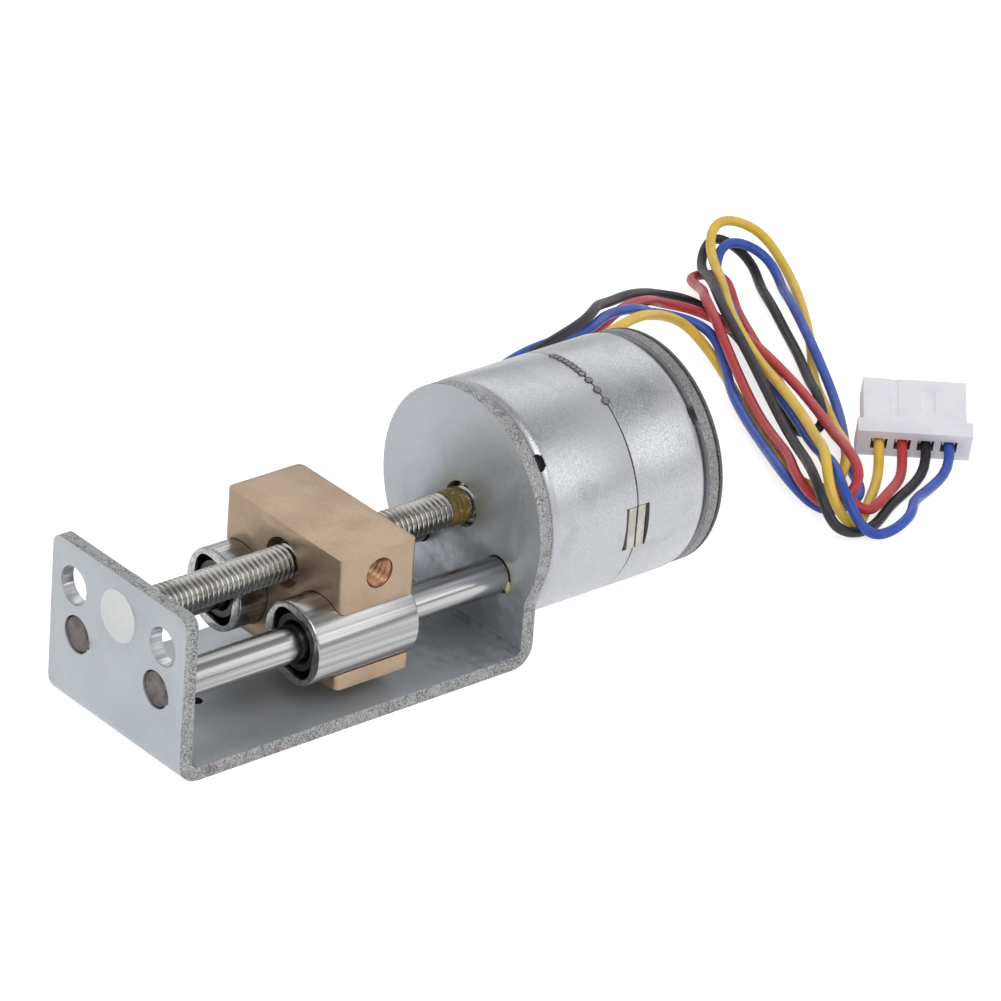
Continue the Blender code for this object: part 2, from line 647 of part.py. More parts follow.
def make_cans():
    outer = CAN_D / 2
    inner = outer - CAN_WALL
    hole = BUSH_D / 2 + SNUG
    seam = SEAM_Y - SNUG
    corner = (MOTOR_Y + CAN_BEND_R, outer - CAN_BEND_R)
    bend = arc(corner, CAN_BEND_R, 180, 90, CAN_BEND_STEPS)
    profile = [
        (hole, MOTOR_Y),
        *[(r, y) for y, r in bend],
        (outer, seam),
        (inner, seam),
        (inner, MOTOR_Y + CAN_END),
        (hole, MOTOR_Y + CAN_END),
    ]
    can = turned("front_can", profile, TIN, FINE_STEPS)
    window = (SEAM_Y - WINDOW_W / 2, SEAM_Y + OVERCUT)
    terminals = (TERMINAL_Y[0] - FIT, SEAM_Y + OVERCUT)
    cut(can, can_openings("front_openings", window, terminals))

    seam = SEAM_Y + SNUG
    shoulder = arc((CAN_REAR_Y - SHOULDER_R, outer - SHOULDER_R), SHOULDER_R, 90, 0, 3)
    profile = [
        (inner, seam),
        (outer, seam),
        *[(r, y) for y, r in shoulder],
        (hole, CAN_REAR_Y),
        (hole, CAN_REAR_Y - CAN_END),
        (inner, CAN_REAR_Y - CAN_END),
    ]
    can = turned("rear_can", profile, TIN, FINE_STEPS)
    window = (SEAM_Y - OVERCUT, SEAM_Y + WINDOW_W / 2)
    terminals = (SEAM_Y - OVERCUT, TERMINAL_Y[1] + FIT)
    cut(can, can_openings("rear_openings", window, terminals))


def make_rear_cover():
    """A flat cup that closes the motor behind the rear bush."""
    start = CAN_REAR_Y + FIT
    end = start + COVER_T
    profile = [
        (BUSH_D / 2 + SNUG, start),
        (CAN_D / 2, start),
        (CAN_D / 2, end - COVER_EDGE),
        (CAN_D / 2 - COVER_EDGE, end),
        (0.0, end),
    ]
    hollow = [(0.0, end - COVER_SKIN), (BUSH_D / 2 + SNUG, end - COVER_SKIN)]
    turned("rear_cover", hollow + profile, TIN, FINE_STEPS, ring=False)


def claw_yoke(name, base, way, tips, first_gap):
    """A steel ring whose fingers are bent along the rotor: base and tips are y positions."""
    outer = CAN_D / 2 - CAN_WALL - FIT
    top = base + way * YOKE_T
    profile = [
        (POLE_R, base),
        (outer, base),
        (outer, top),
        (POLE_R + POLE_T, top),
        (POLE_R + POLE_T, tips),
        (POLE_R, tips),
    ]
    if way < 0:
        profile.reverse()
    yoke = turned(name, profile, YOKE_STEEL, HIDDEN_STEPS)
    bm = bmesh.new()
    low, high = sorted((top, tips + way * OVERCUT))
    reach = POLE_R + POLE_T + OVERCUT
    for gap in range(POLE_PAIRS):
        made = box(bm, (POLE_R - 2.0, low, -POLE_GAP / 2), (reach, high, POLE_GAP / 2))
        turn = Matrix.Rotation(math.radians(first_gap + POLE_PITCH * gap), 4, "Y")
        place = Matrix.Translation((0.0, 0.0, SCREW_Z)) @ turn
        bmesh.ops.transform(bm, matrix=place, verts=made)
    cut(yoke, cutter(name + "_gaps", bm))
    return yoke


def make_stator_half(word, end, way):
    """One coil on its bobbin between two claw yokes; way points from the end to the seam."""
    outer_base = end
    inner_base = SEAM_Y - way * FIT
    outer_top = outer_base + way * YOKE_T
    inner_top = inner_base - way * YOKE_T
    claw_yoke(word + "_outer_yoke", outer_base, way, inner_top - way * POLE_END_GAP, 0.0)
    tips = outer_top + way * POLE_END_GAP
    inner_yoke = claw_yoke(word + "_inner_yoke", inner_base, -way, tips, POLE_PITCH / 2)
    bm = bmesh.new()
    low, high = sorted((inner_base, inner_top))
    box(bm, (TAB_X[0], low, WINDOW_Z[0] + FIT), (TAB_X[1], high, WINDOW_Z[1] - FIT))
    join(inner_yoke, cutter(word + "_window_tab", bm))

    inner = POLE_R + POLE_T + FIT
    outer = CAN_D / 2 - CAN_WALL - FIT
    low, high = sorted((outer_top + way * FIT, inner_top - way * FIT))
    wall = BOBBIN_WALL
    profile = [
        (inner, low),
        (outer, low),
        (outer, low + wall),
        (inner + wall, low + wall),
        (inner + wall, high - wall),
        (outer, high - wall),
        (outer, high),
        (inner, high),
    ]
    turned(word + "_bobbin", profile, MOTOR_PLASTIC, HIDDEN_STEPS)
    span = (low + wall + FIT, high - wall - FIT)
    coil_outer = 2 * (outer - COIL_INSET)
    sleeve(word + "_coil", 2 * (inner + wall + FIT), coil_outer, span, COPPER, HIDDEN_STEPS)


def make_terminals():
    inner = CAN_D / 2 - CAN_WALL
    bm = bmesh.new()
    low = (TERMINAL_X, TERMINAL_Y[0], TERMINAL_Z[0])
    box(bm, low, (-inner, TERMINAL_Y[1], TERMINAL_Z[1]))
    block = part("terminal_block", bm, TERMINAL_PLASTIC)
    holes = bmesh.new()
    pockets = bmesh.new()
    for place in TERMINALS.values():
        hole = (PIN_X[0] - FIT, -inner + OVERCUT)
        bar_along_x(holes, place, PIN_D + 2 * SNUG, *hole, PIN_STEPS)
        bar_along_x(pockets, place, POCKET_D, TERMINAL_X - OVERCUT, PIN_X[0], POCKET_STEPS)
    cut(block, cutter("pin_holes", holes))
    cut(block, cutter("wire_pockets", pockets))
    for number, place in enumerate(TERMINALS.values(), 1):
        bm = bmesh.new()
        bar_along_x(bm, place, PIN_D, *PIN_X, PIN_STEPS)
        part(f"terminal_pin_{number}", bm, TINNED, (PIN_X[0], *place))


def housing_frame():
    """The connector's place: x across the row, y from the wire end to the mating end."""
    turn = Matrix.Rotation(math.radians(HOUSING_TURN), 4, "Z")
    tilt = Matrix.Rotation(math.radians(HOUSING_TILT), 4, "X")
    return Matrix.Translation(HOUSING_CORNER) @ turn @ tilt


def entry_place(number, y):
    """A point on the middle line of one wire entry, in the connector's own frame."""
    middle = (len(ROUTES) - 1) / 2
    return Vector((LIP_W / 2 + (number - middle) * PITCH, y, LIP_T / 2))


def housing_box(low, high):
    bm = bmesh.new()
    box(bm, low, high)
    bmesh.ops.transform(bm, matrix=housing_frame(), verts=bm.verts)
    return bm


def make_connector():
    side = (LIP_W - HOUSING_W) / 2
    under = (LIP_T - HOUSING_T) / 2
    lip = housing_box((0.0, 0.0, 0.0), (LIP_W, LIP_L, LIP_T))
    origin = housing_frame() @ Vector((LIP_W / 2, 0.0, LIP_T / 2))
    housing = part("connector_housing", lip, HOUSING_PLASTIC, origin)
    low = (side, LIP_L / 2, under)
    body = housing_box(low, (side + HOUSING_W, HOUSING_L, under + HOUSING_T))
    join(housing, cutter("housing_body", body))
    for number in range(len(ROUTES)):
        half = Vector((CAVITY_SIDE / 2, 0.0, CAVITY_SIDE / 2))
        low = entry_place(number, -OVERCUT) - half
        cavity = housing_box(low, entry_place(number, HOUSING_L + OVERCUT) + half)
        cut(housing, cutter(f"cavity_{number + 1}", cavity))
        half = Vector((CONTACT_SIDE / 2, 0.0, CONTACT_SIDE / 2))
        low = entry_place(number, CONTACT_START) - half
        contact = housing_box(low, entry_place(number, HOUSING_L - CONTACT_INSET) + half)
        origin = housing_frame() @ entry_place(number, CONTACT_START)
        part(f"contact_{number + 1}", contact, CONTACT_METAL, origin)


def smooth_curve(route, per_span):
    """Points on the natural cubic spline through a route, several to each of its spans."""
    points = np.array(route, float)
    steps = np.linalg.norm(np.diff(points, axis=0), axis=1)
    size = len(points)
    system = np.eye(size)
    pull = np.zeros((size, 3))
    for i in range(1, size - 1):
        before, after = steps[i - 1], steps[i]
        system[i, i - 1 : i + 2] = (before, 2 * (before + after), after)
        slope_after = (points[i + 1] - points[i]) / after
        slope_before = (points[i] - points[i - 1]) / before
        pull[i] = 6 * (slope_after - slope_before)
    bend = np.linalg.solve(system, pull)
    found = []
    for i, step in enumerate(steps):
        for share in np.arange(per_span) / per_span:
            rest = 1 - share
            straight = rest * points[i] + share * points[i + 1]
            lift = (rest**3 - rest) * bend[i] + (share**3 - share) * bend[i + 1]
            found.append(straight + lift * step**2 / 6)
    found.append(points[-1])
    return found


def make_wire(number, colour):
    """A wire from its terminal to its entry in the connector."""
    frame = housing_frame()
    route = [(WIRE_START_X, *TERMINALS[colour]), *ROUTES[colour]]
    route += [frame @ entry_place(number, y) for y in (WIRE_LEAD_IN, WIRE_END)]
    points = smooth_curve(route, 2)
    curve = bpy.data.curves.new("wire_" + colour, "CURVE")
    curve.dimensions = "3D"
    curve.bevel_depth = WIRE_D / 2 * MM
    curve.bevel_resolution = 2
    curve.use_fill_caps = True
    spline = curve.splines.new("POLY")
    spline.points.add(len(points) - 1)
    for point, (x, y, z) in zip(spline.points, points):
        above_floor = max(z, WIRE_D / 2)
        point.co = (x * MM, y * MM, above_floor * MM, 1.0)
    wire = bpy.data.objects.new("wire_" + colour, curve)
    wire.location = -ORIGIN * MM
    as_part(wire, JACKETS[colour])


clear_scene()
parts = new_collection("stepper motor linear slide")
cutters = new_collection("cutters")
cutters.hide_render = True
make_bracket()
make_front_bearing()
make_screw()
make_block()
for word, side in (("left", -1), ("right", 1)):
    make_guide_rod(word, side)
    make_bushing(word, side)
make_shaft_parts()
make_cans()
make_rear_cover()
make_stator_half("front", MOTOR_Y + CAN_END + FIT, 1)
make_stator_half("rear", CAN_REAR_Y - CAN_END - FIT, -1)
make_terminals()
make_connector()
for number, colour in enumerate(ROUTES):
    make_wire(number, colour)
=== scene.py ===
# %% [markdown]
# A can stepper motor turns a fine lead screw, and the screw carries a small brass slider
# along two polished rods. The CAD frame already holds every piece in its place. This
# script gives each piece the edges, threads, finishes and wear of the real one. The
# screw and the rods run along Y, so an axis is named by its x and z, in millimetres.

# %% Load the frame
import math

import bmesh
import bpy
import numpy as np
from mathutils import Matrix, Vector


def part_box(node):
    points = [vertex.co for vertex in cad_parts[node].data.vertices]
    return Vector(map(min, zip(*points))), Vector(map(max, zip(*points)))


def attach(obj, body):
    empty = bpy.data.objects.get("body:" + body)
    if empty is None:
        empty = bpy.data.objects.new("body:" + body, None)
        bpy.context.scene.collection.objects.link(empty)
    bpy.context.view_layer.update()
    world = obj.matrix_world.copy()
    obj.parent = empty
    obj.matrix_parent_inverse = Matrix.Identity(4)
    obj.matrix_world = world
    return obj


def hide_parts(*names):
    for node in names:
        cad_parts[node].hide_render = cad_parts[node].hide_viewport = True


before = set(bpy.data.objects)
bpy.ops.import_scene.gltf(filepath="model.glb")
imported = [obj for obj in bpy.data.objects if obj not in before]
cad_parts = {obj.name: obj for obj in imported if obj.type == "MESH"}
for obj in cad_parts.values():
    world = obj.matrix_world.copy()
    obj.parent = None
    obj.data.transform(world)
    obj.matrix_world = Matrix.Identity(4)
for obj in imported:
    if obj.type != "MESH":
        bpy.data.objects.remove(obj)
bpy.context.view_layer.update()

MM = 0.001
SCREW_Z = 11.05
ROD_X, ROD_Z = 5.1, 7.0
AXIS = (0.0, SCREW_Z)

# %% [markdown]
# The photograph is taken from far off with a long lens, from the front right and above.
# A camera could be aimed by eye, but a direction, a small roll and a lens give the same
# view each time.

# %% Place the camera
AZIMUTH = 48.47
ELEVATION = 27.99
ROLL = 4.37
LENS = 233.98
CAMERA_PLACE = Vector((346.911, -286.522, 256.438)) * MM

turn = math.radians(AZIMUTH)
rise = math.radians(ELEVATION)
ahead = Vector((-math.sin(turn), math.cos(turn), 0)) * math.cos(rise)
forward = ahead - Vector((0, 0, math.sin(rise)))
sideways = forward.cross(Vector((0, 0, 1))).normalized()
right = Matrix.Rotation(-math.radians(ROLL), 3, forward) @ sideways
up = right.cross(forward)
camera = bpy.data.objects.new("camera", bpy.data.cameras.new("camera"))
camera.data.lens = LENS
camera.data.clip_start = 0.01
aim = Matrix((right, up, -forward)).transposed()
camera.matrix_world = Matrix.LocRotScale(CAMERA_PLACE, aim, None)
bpy.context.collection.objects.link(camera)
bpy.context.scene.camera = camera
print("camera looks along", [round(v, 4) for v in forward])

# %% [markdown]
# Four thin jacketed wires leave the terminals on the far side of the motor, fall to the
# table, run out and back in long folds and end in the connector. Each is a curve with a
# round bevel. Its points lie on a natural cubic spline, which bends as evenly as a real
# wire does.

# %% Draw one smooth curve through a route
def smooth_curve(route, per_span):
    points = np.array(route, float)
    steps = np.linalg.norm(np.diff(points, axis=0), axis=1)
    size = len(points)
    system = np.eye(size)
    pull = np.zeros((size, 3))
    for i in range(1, size - 1):
        before, after = steps[i - 1], steps[i]
        system[i, i - 1 : i + 2] = (before, 2 * (before + after), after)
        slope_after = (points[i + 1] - points[i]) / after
        slope_before = (points[i] - points[i - 1]) / before
        pull[i] = 6 * (slope_after - slope_before)
    bend = np.linalg.solve(system, pull)
    found = []
    for i, step in enumerate(steps):
        for share in np.arange(per_span) / per_span:
            rest = 1 - share
            straight = rest * points[i] + share * points[i + 1]
            lift = (rest**3 - rest) * bend[i] + (share**3 - share) * bend[i + 1]
            found.append(straight + lift * step**2 / 6)
    found.append(points[-1])
    return found


arch = smooth_curve([(0, 0, 0), (1, 1, 0), (2, 0, 0)], 4)
print("an arch through 3 points becomes", len(arch), "points")

# %% [markdown]
# The connector lies on the table with its wire side towards the folds. It is turned,
# and tipped up on the edge of its lip. Its pieces and the ends of the wires share one
# matrix: x runs across the row of entries and y from the wires to the mating side.
# Places on the table are measured from the face of the front plate.

# %% Place the connector
FRONT_FACE_Y = -17.7
ENTRY_PITCH = 2.0
LIP_W, LIP_L, LIP_T = 9.9, 1.5, 3.4
HOUSING_W, HOUSING_L, HOUSING_T = 8.9, 6.0, 3.0
HOUSING_CORNER = Vector((-4.4, 82.3 + FRONT_FACE_Y, 0.02))
HOUSING_TURN = 50.8
HOUSING_TILT = 25.0
turned_about_z = Matrix.Rotation(math.radians(HOUSING_TURN), 4, "Z")
tipped = Matrix.Rotation(math.radians(HOUSING_TILT), 4, "X")
connector_frame = Matrix.Translation(HOUSING_CORNER) @ turned_about_z @ tipped


def entry_place(number, y):
    return Vector((LIP_W / 2 + (number - 1.5) * ENTRY_PITCH, y, LIP_T / 2))


print("connector corner", list(HOUSING_CORNER))

# %% [markdown]
# Each route is a list of points along one wire, followed in the photograph. No
# formula gives such folds. Two wires that cross lie at different heights, so that one
# passes over the other.

# %% List the points of each route
TERMINAL_X = -12.2
TERMINALS = {
    "yellow": (43.3, 6.8),
    "red": (45.5, 6.8),
    "black": (45.5, 10.3),
    "blue": (43.3, 10.3),
}
ROUTES = {
    "yellow": [
        (-15.0, 44.1, 6.8), (-18.0, 49.1, 7.5), (-17.9, 54.1, 8.4), (-16.7, 59.4, 10.2),
        (-16.8, 64.2, 11.3), (-18.4, 68.7, 10.8), (-21.1, 73.0, 8.7), (-24.1, 77.4, 6.1),
        (-24.5, 80.7, 3.8), (-22.2, 82.0, 1.3), (-18.1, 80.6, 0.5), (-11.9, 77.9, 0.6),
        (-6.6, 75.3, 1.1), (-2.5, 73.9, 0.9), (-0.2, 75.7, 0.6), (-1.1, 78.1, 2.2),
        (-5.1, 81.0, 2.0), (-10.3, 84.5, 0.9), (-15.4, 87.6, 0.7), (-20.3, 91.5, 0.9),
        (-25.3, 95.1, 1.2), (-30.5, 98.7, 0.7), (-34.6, 100.8, 0.9), (-37.8, 100.4, 2.8),
        (-39.2, 97.4, 4.0), (-37.1, 94.1, 3.4), (-32.9, 91.5, 2.8), (-28.1, 88.1, 3.4),
        (-23.6, 85.1, 3.9), (-18.2, 82.9, 3.3), (-12.3, 80.5, 3.6), (-6.5, 78.0, 3.8),
        (-1.8, 75.3, 4.5), (2.3, 72.4, 5.3), (5.0, 71.0, 3.4), (6.1, 72.5, 0.8), (4.3, 75.8, 0.7),
    ],
    "red": [
        (-15.0, 46.3, 6.8), (-17.6, 51.2, 8.8), (-18.3, 56.3, 10.0), (-18.8, 61.7, 9.7),
        (-20.7, 67.1, 9.7), (-23.2, 71.7, 9.0), (-25.6, 76.4, 7.3), (-27.9, 80.4, 5.0),
        (-27.3, 83.8, 3.6), (-24.0, 85.4, 2.8), (-19.2, 84.5, 3.0), (-13.5, 82.9, 3.0),
        (-7.8, 80.9, 3.0), (-2.9, 78.4, 3.6), (1.7, 75.7, 4.8), (4.9, 73.6, 3.7), (4.2, 71.6, 2.2),
        (1.2, 71.1, 2.8), (-3.1, 73.4, 2.7), (-8.4, 76.0, 2.1), (-14.0, 78.6, 2.2),
        (-19.4, 81.0, 3.3), (-24.5, 83.4, 4.4), (-28.7, 86.0, 3.9), (-33.2, 89.4, 2.0),
        (-36.5, 92.3, 1.0), (-35.7, 93.9, 0.9), (-32.7, 93.1, 0.5), (-27.9, 90.0, 0.9),
        (-22.5, 87.5, 0.7), (-17.0, 84.9, 0.6), (-11.1, 81.7, 1.4), (-5.6, 78.5, 2.0),
        (-0.8, 75.7, 2.3), (3.2, 73.4, 2.7), (5.7, 74.2, 1.6), (5.1, 76.8, 1.6),
    ],
    "black": [
        (-15.0, 46.3, 10.3), (-15.9, 51.3, 11.3), (-16.0, 56.7, 12.6), (-17.1, 61.4, 13.0),
        (-19.8, 65.1, 12.1), (-23.0, 69.3, 10.1), (-25.7, 74.0, 8.4), (-28.4, 78.8, 6.2),
        (-30.5, 83.0, 4.0), (-30.0, 86.3, 2.5), (-27.0, 87.8, 0.9), (-22.9, 86.5, 0.7),
        (-17.2, 83.8, 1.0), (-12.6, 81.3, 1.3), (-9.2, 80.4, 0.6), (-8.1, 81.4, 1.2),
        (-9.7, 82.9, 2.4), (-13.9, 85.7, 1.7), (-18.8, 88.8, 1.2), (-24.0, 91.7, 1.0),
        (-28.9, 94.2, 1.1), (-33.3, 96.9, 0.5), (-36.8, 98.0, 1.5), (-38.6, 96.1, 2.8),
        (-37.3, 93.4, 2.1), (-33.4, 90.6, 2.7), (-28.8, 87.4, 4.1), (-24.2, 84.5, 4.6),
        (-19.1, 82.2, 4.1), (-13.4, 79.7, 3.2), (-8.1, 77.2, 2.7), (-3.4, 74.6, 3.2),
        (1.4, 71.4, 4.6), (4.8, 69.6, 4.2), (6.8, 69.9, 1.8), (7.1, 73.1, 0.6), (5.1, 77.7, 0.6),
    ],
    "blue": [
        (-15.0, 44.1, 10.3), (-17.1, 49.7, 10.1), (-17.6, 55.4, 11.3), (-17.4, 61.9, 11.8),
        (-19.7, 66.2, 11.0), (-21.7, 71.3, 9.5), (-24.6, 75.9, 6.7), (-26.2, 79.5, 4.8),
        (-24.2, 82.3, 3.5), (-20.6, 81.5, 1.9), (-16.1, 78.6, 1.6), (-10.7, 76.1, 1.3),
        (-5.2, 73.4, 1.8), (-0.7, 71.7, 1.8), (2.5, 72.7, 0.6), (2.7, 76.0, 0.7),
        (-1.1, 79.1, 0.6), (-6.4, 82.9, 0.5), (-11.5, 86.5, 0.7), (-16.9, 89.2, 1.9),
        (-22.6, 92.1, 2.5), (-27.4, 94.9, 2.1), (-31.6, 97.9, 0.9), (-35.0, 98.6, 2.1),
        (-36.8, 96.1, 3.1), (-35.1, 93.2, 1.8), (-30.8, 90.6, 1.6), (-25.7, 87.5, 1.9),
        (-20.1, 84.6, 1.7), (-14.2, 81.5, 2.4), (-8.0, 78.7, 2.6), (-2.5, 76.0, 3.1),
        (2.4, 73.4, 4.4), (6.1, 71.7, 3.4), (8.5, 72.7, 1.0), (8.8, 75.9, 1.4), (6.1, 79.6, 1.0),
    ],
}
print("points in each route", {colour: len(route) for colour, route in ROUTES.items()})

# %% [markdown]
# A wire starts at its terminal, follows its route and ends in its entry. Points that
# would sink into the table are lifted on to it. The curve's bevel is the jacket.

# %% Draw the four wires
WIRE_D = 0.9
POINTS_PER_SPAN = 8
ENTRY_STEPS = (-1.3, 0.75)


def draw_wire(number, colour):
    route = [(TERMINAL_X, *TERMINALS[colour]), *ROUTES[colour]]
    route = [Vector((x, y + FRONT_FACE_Y, z)) for x, y, z in route]
    route += [connector_frame @ entry_place(number, y) for y in ENTRY_STEPS]
    points = [Vector(p) for p in smooth_curve(route, POINTS_PER_SPAN)]
    for point in points:
        point.z = max(point.z, WIRE_D / 2)
    curve = bpy.data.curves.new("wire_" + colour, "CURVE")
    curve.dimensions = "3D"
    curve.bevel_depth = WIRE_D / 2 * MM
    curve.bevel_resolution = 5
    curve.use_fill_caps = True
    spline = curve.splines.new("POLY")
    spline.points.add(len(points) - 1)
    for target, point in zip(spline.points, points):
        target.co = (*(point * MM), 1.0)
    wire = bpy.data.objects.new("wire_" + colour + "_jacket", curve)
    bpy.context.collection.objects.link(wire)
    length = sum((b - a).length for a, b in zip(points, points[1:]))
    print(wire.name, "length", round(length, 1), "mm")
    return wire, points[0] * MM, length * MM


wires = {colour: draw_wire(number, colour) for number, colour in enumerate(ROUTES)}

# %% [markdown]
# Effects that several finishes share are node groups: cloudy tone, streaks along the
# direction of drawing, scattered specks, and a ragged stain round one point. Painted
# images could do the same, but noise needs no unwrapping and stays sharp close up. Each
# effect gives a mask from 0 to 1. It reads Object coordinates, which are metres here, so
# a scale of 1000 means about one millimetre.

# %% Make the helpers for effects
def add_node(tree, kind, inputs=None, **settings):
    """Adds a shader node, sets it up, and links or fills its inputs."""
    node = tree.nodes.new("ShaderNode" + kind)
    for label, value in settings.items():
        setattr(node, label, value)
    for label, value in (inputs or {}).items():
        if isinstance(value, bpy.types.NodeSocket):
            tree.links.new(value, node.inputs[label])
        else:
            node.inputs[label].default_value = value
    return node


def calculate(tree, operation, *values):
    node = add_node(tree, "Math", dict(enumerate(values)), operation=operation)
    return node.outputs["Value"]


def new_group(name, inputs):
    """Starts an effect, and gives its inputs, its mask and the place on the piece."""
    group = bpy.data.node_groups.new(name, "ShaderNodeTree")
    for label, value in inputs.items():
        socket = group.interface.new_socket(label, in_out="INPUT", socket_type="NodeSocketFloat")
        socket.default_value = value
    group.interface.new_socket("Mask", in_out="OUTPUT", socket_type="NodeSocketFloat")
    given = group.nodes.new("NodeGroupInput").outputs
    end = group.nodes.new("NodeGroupOutput").inputs["Mask"]
    place = add_node(group, "TexCoord").outputs["Object"]
    return group, given, end, place


def fade_in(group, value, given, end):
    """Ends an effect: 0 below its Low, 1 above its High and smooth between them."""
    limits = {"Value": value, "From Min": given["Low"], "From Max": given["High"]}
    ramp = add_node(group, "MapRange", limits, interpolation_type="SMOOTHSTEP")
    group.links.new(ramp.outputs["Result"], end)


print("a pattern of scale 1000 has blots of about", 1 / 1000 / MM, "mm")

# %% [markdown]
# Clouds are plain noise between two limits. Streaks are the same noise, but its place is
# squeezed along Y, so that each blot becomes a long line. That is how drawn and ground
# metal looks, because the tool ran along it.

# %% Make the clouds and the streaks
def make_clouds():
    inputs = {"Scale": 300.0, "Detail": 3.0, "Low": 0.4, "High": 0.6}
    group, given, end, place = new_group("clouds", inputs)
    pattern = {"Vector": place, "Scale": given["Scale"], "Detail": given["Detail"]}
    noise = add_node(group, "TexNoise", pattern)
    fade_in(group, noise.outputs["Fac"], given, end)
    return group


def make_streaks():
    inputs = {"Scale": 2000.0, "Length": 0.02, "Low": 0.35, "High": 0.65}
    group, given, end, place = new_group("streaks", inputs)
    shape = add_node(group, "CombineXYZ", {"X": 1.0, "Y": given["Length"], "Z": 1.0})
    factors = {0: place, 1: shape.outputs["Vector"]}
    squeezed = add_node(group, "VectorMath", factors, operation="MULTIPLY")
    pattern = {"Vector": squeezed.outputs["Vector"], "Scale": given["Scale"]}
    noise = add_node(group, "TexNoise", pattern)
    fade_in(group, noise.outputs["Fac"], given, end)
    return group


CLOUDS = make_clouds()
STREAKS = make_streaks()
print("effects", CLOUDS.name, STREAKS.name)

# %% [markdown]
# Specks are the middles of Voronoi cells. Each cell has a random colour, and its red
# picks the share of cells that get a speck. A stain is everything within a radius of one
# point. Noise makes the outline of both ragged, as dirt and glue are.

# %% Make the specks and the stain
def make_specks():
    inputs = {"Scale": 2500.0, "Size": 0.25, "Share": 0.2, "Rough edge": 0.4}
    group, given, end, place = new_group("specks", inputs)
    pattern = {"Vector": place, "Scale": given["Scale"]}
    noise = add_node(group, "TexNoise", pattern).outputs["Fac"]
    cells = add_node(group, "TexVoronoi", pattern).outputs
    ragged = calculate(group, "MULTIPLY_ADD", noise, given["Rough edge"], cells["Distance"])
    inside = calculate(group, "LESS_THAN", ragged, given["Size"])
    red = add_node(group, "SeparateColor", {"Color": cells["Color"]}).outputs["Red"]
    chosen = calculate(group, "LESS_THAN", red, given["Share"])
    group.links.new(calculate(group, "MULTIPLY", inside, chosen), end)
    return group


def make_stain():
    inputs = {"X": 0.0, "Y": 0.0, "Z": 0.0, "Radius": 0.001}
    group, given, end, place = new_group("stain", inputs)
    centre = add_node(group, "CombineXYZ", {axis: given[axis] for axis in "XYZ"})
    points = {0: place, 1: centre.outputs["Vector"]}
    away = add_node(group, "VectorMath", points, operation="DISTANCE").outputs["Value"]
    share = calculate(group, "DIVIDE", away, given["Radius"])
    noise = add_node(group, "TexNoise", {"Vector": place, "Scale": 900.0}).outputs["Fac"]
    ragged = calculate(group, "MULTIPLY_ADD", noise, 1.2, share)
    limits = {"Value": ragged, "From Min": 0.9, "From Max": 1.6, "To Min": 1.0, "To Max": 0.0}
    fade = add_node(group, "MapRange", limits, interpolation_type="SMOOTHSTEP")
    group.links.new(fade.outputs["Result"], end)
    return group


SPECKS = make_specks()
STAIN = make_stain()
print("effects", SPECKS.name, STAIN.name)

# %% [markdown]
# A finish starts as one Principled shader. Then masks tint its colour, change its gloss
# and dent its surface. A few small helpers keep each finish down to a few lines. Colours
# are given as they are read off a picture, from 0 to 255, and lengths in millimetres.

# %% Make the helpers for finishes
def srgb(colour):
    """Turns a picture's red, green and blue into the linear light that shaders use."""
    shares = [value / 255 for value in colour]
    linear = [s / 12.92 if s <= 0.04045 else ((s + 0.055) / 1.055) ** 2.4 for s in shares]
    return (*linear, 1.0)


def shader_inputs(material):
    return material.node_tree.nodes["Principled BSDF"].inputs


def finish(name, colour, roughness, metallic=0.0):
    material = bpy.data.materials.new(name)
    material.use_nodes = True
    shader = shader_inputs(material)
    shader["Base Color"].default_value = srgb(colour)
    shader["Roughness"].default_value = roughness
    shader["Metallic"].default_value = metallic
    return material


def mask(material, effect, **values):
    return add_node(material.node_tree, "Group", values, node_tree=effect).outputs["Mask"]


def both(material, first, second):
    return calculate(material.node_tree, "MULTIPLY", first, second)


def tint(material, where, colour, share=1.0):
    """Mixes a colour over the present one, up to this share, where the mask says."""
    tree = material.node_tree
    target = shader_inputs(material)["Base Color"]
    before = target.links[0].from_socket if target.is_linked else target.default_value
    weight = calculate(tree, "MULTIPLY", where, share)
    colours = {"Factor": weight, "A": before, "B": srgb(colour)}
    mix = add_node(tree, "Mix", colours, data_type="RGBA")
    tree.links.new(mix.outputs["Result"], target)


def cloudy(material, colour, share=1.0, **values):
    tint(material, mask(material, CLOUDS, **values), colour, share)


def specked(material, colour, share=1.0, **values):
    tint(material, mask(material, SPECKS, **values), colour, share)


def stained(material, colour, share, centre, radius):
    x, y, z = (part * MM for part in centre)
    tint(material, mask(material, STAIN, X=x, Y=y, Z=z, Radius=radius * MM), colour, share)


def vary_roughness(material, where, low, high):
    limits = {"Value": where, "To Min": low, "To Max": high}
    ramp = add_node(material.node_tree, "MapRange", limits)
    material.node_tree.links.new(ramp.outputs["Result"], shader_inputs(material)["Roughness"])


def dent(material, where, depth, strength=0.5):
    """Makes the mask a relief of this depth in the surface."""
    relief = {"Strength": strength, "Distance": depth * MM, "Height": where}
    bump = add_node(material.node_tree, "Bump", relief)
    material.node_tree.links.new(bump.outputs["Normal"], shader_inputs(material)["Normal"])


def grained(material, scale, detail, roughness, depth, strength):
    """Gives a fine grain that changes the gloss between two values and the surface."""
    grain = mask(material, CLOUDS, Scale=scale, Detail=detail, Low=0.3, High=0.7)
    vary_roughness(material, grain, *roughness)
    dent(material, grain, depth, strength)


print("a picture's middle grey is light", [round(v, 3) for v in srgb((128, 128, 128))[:3]])
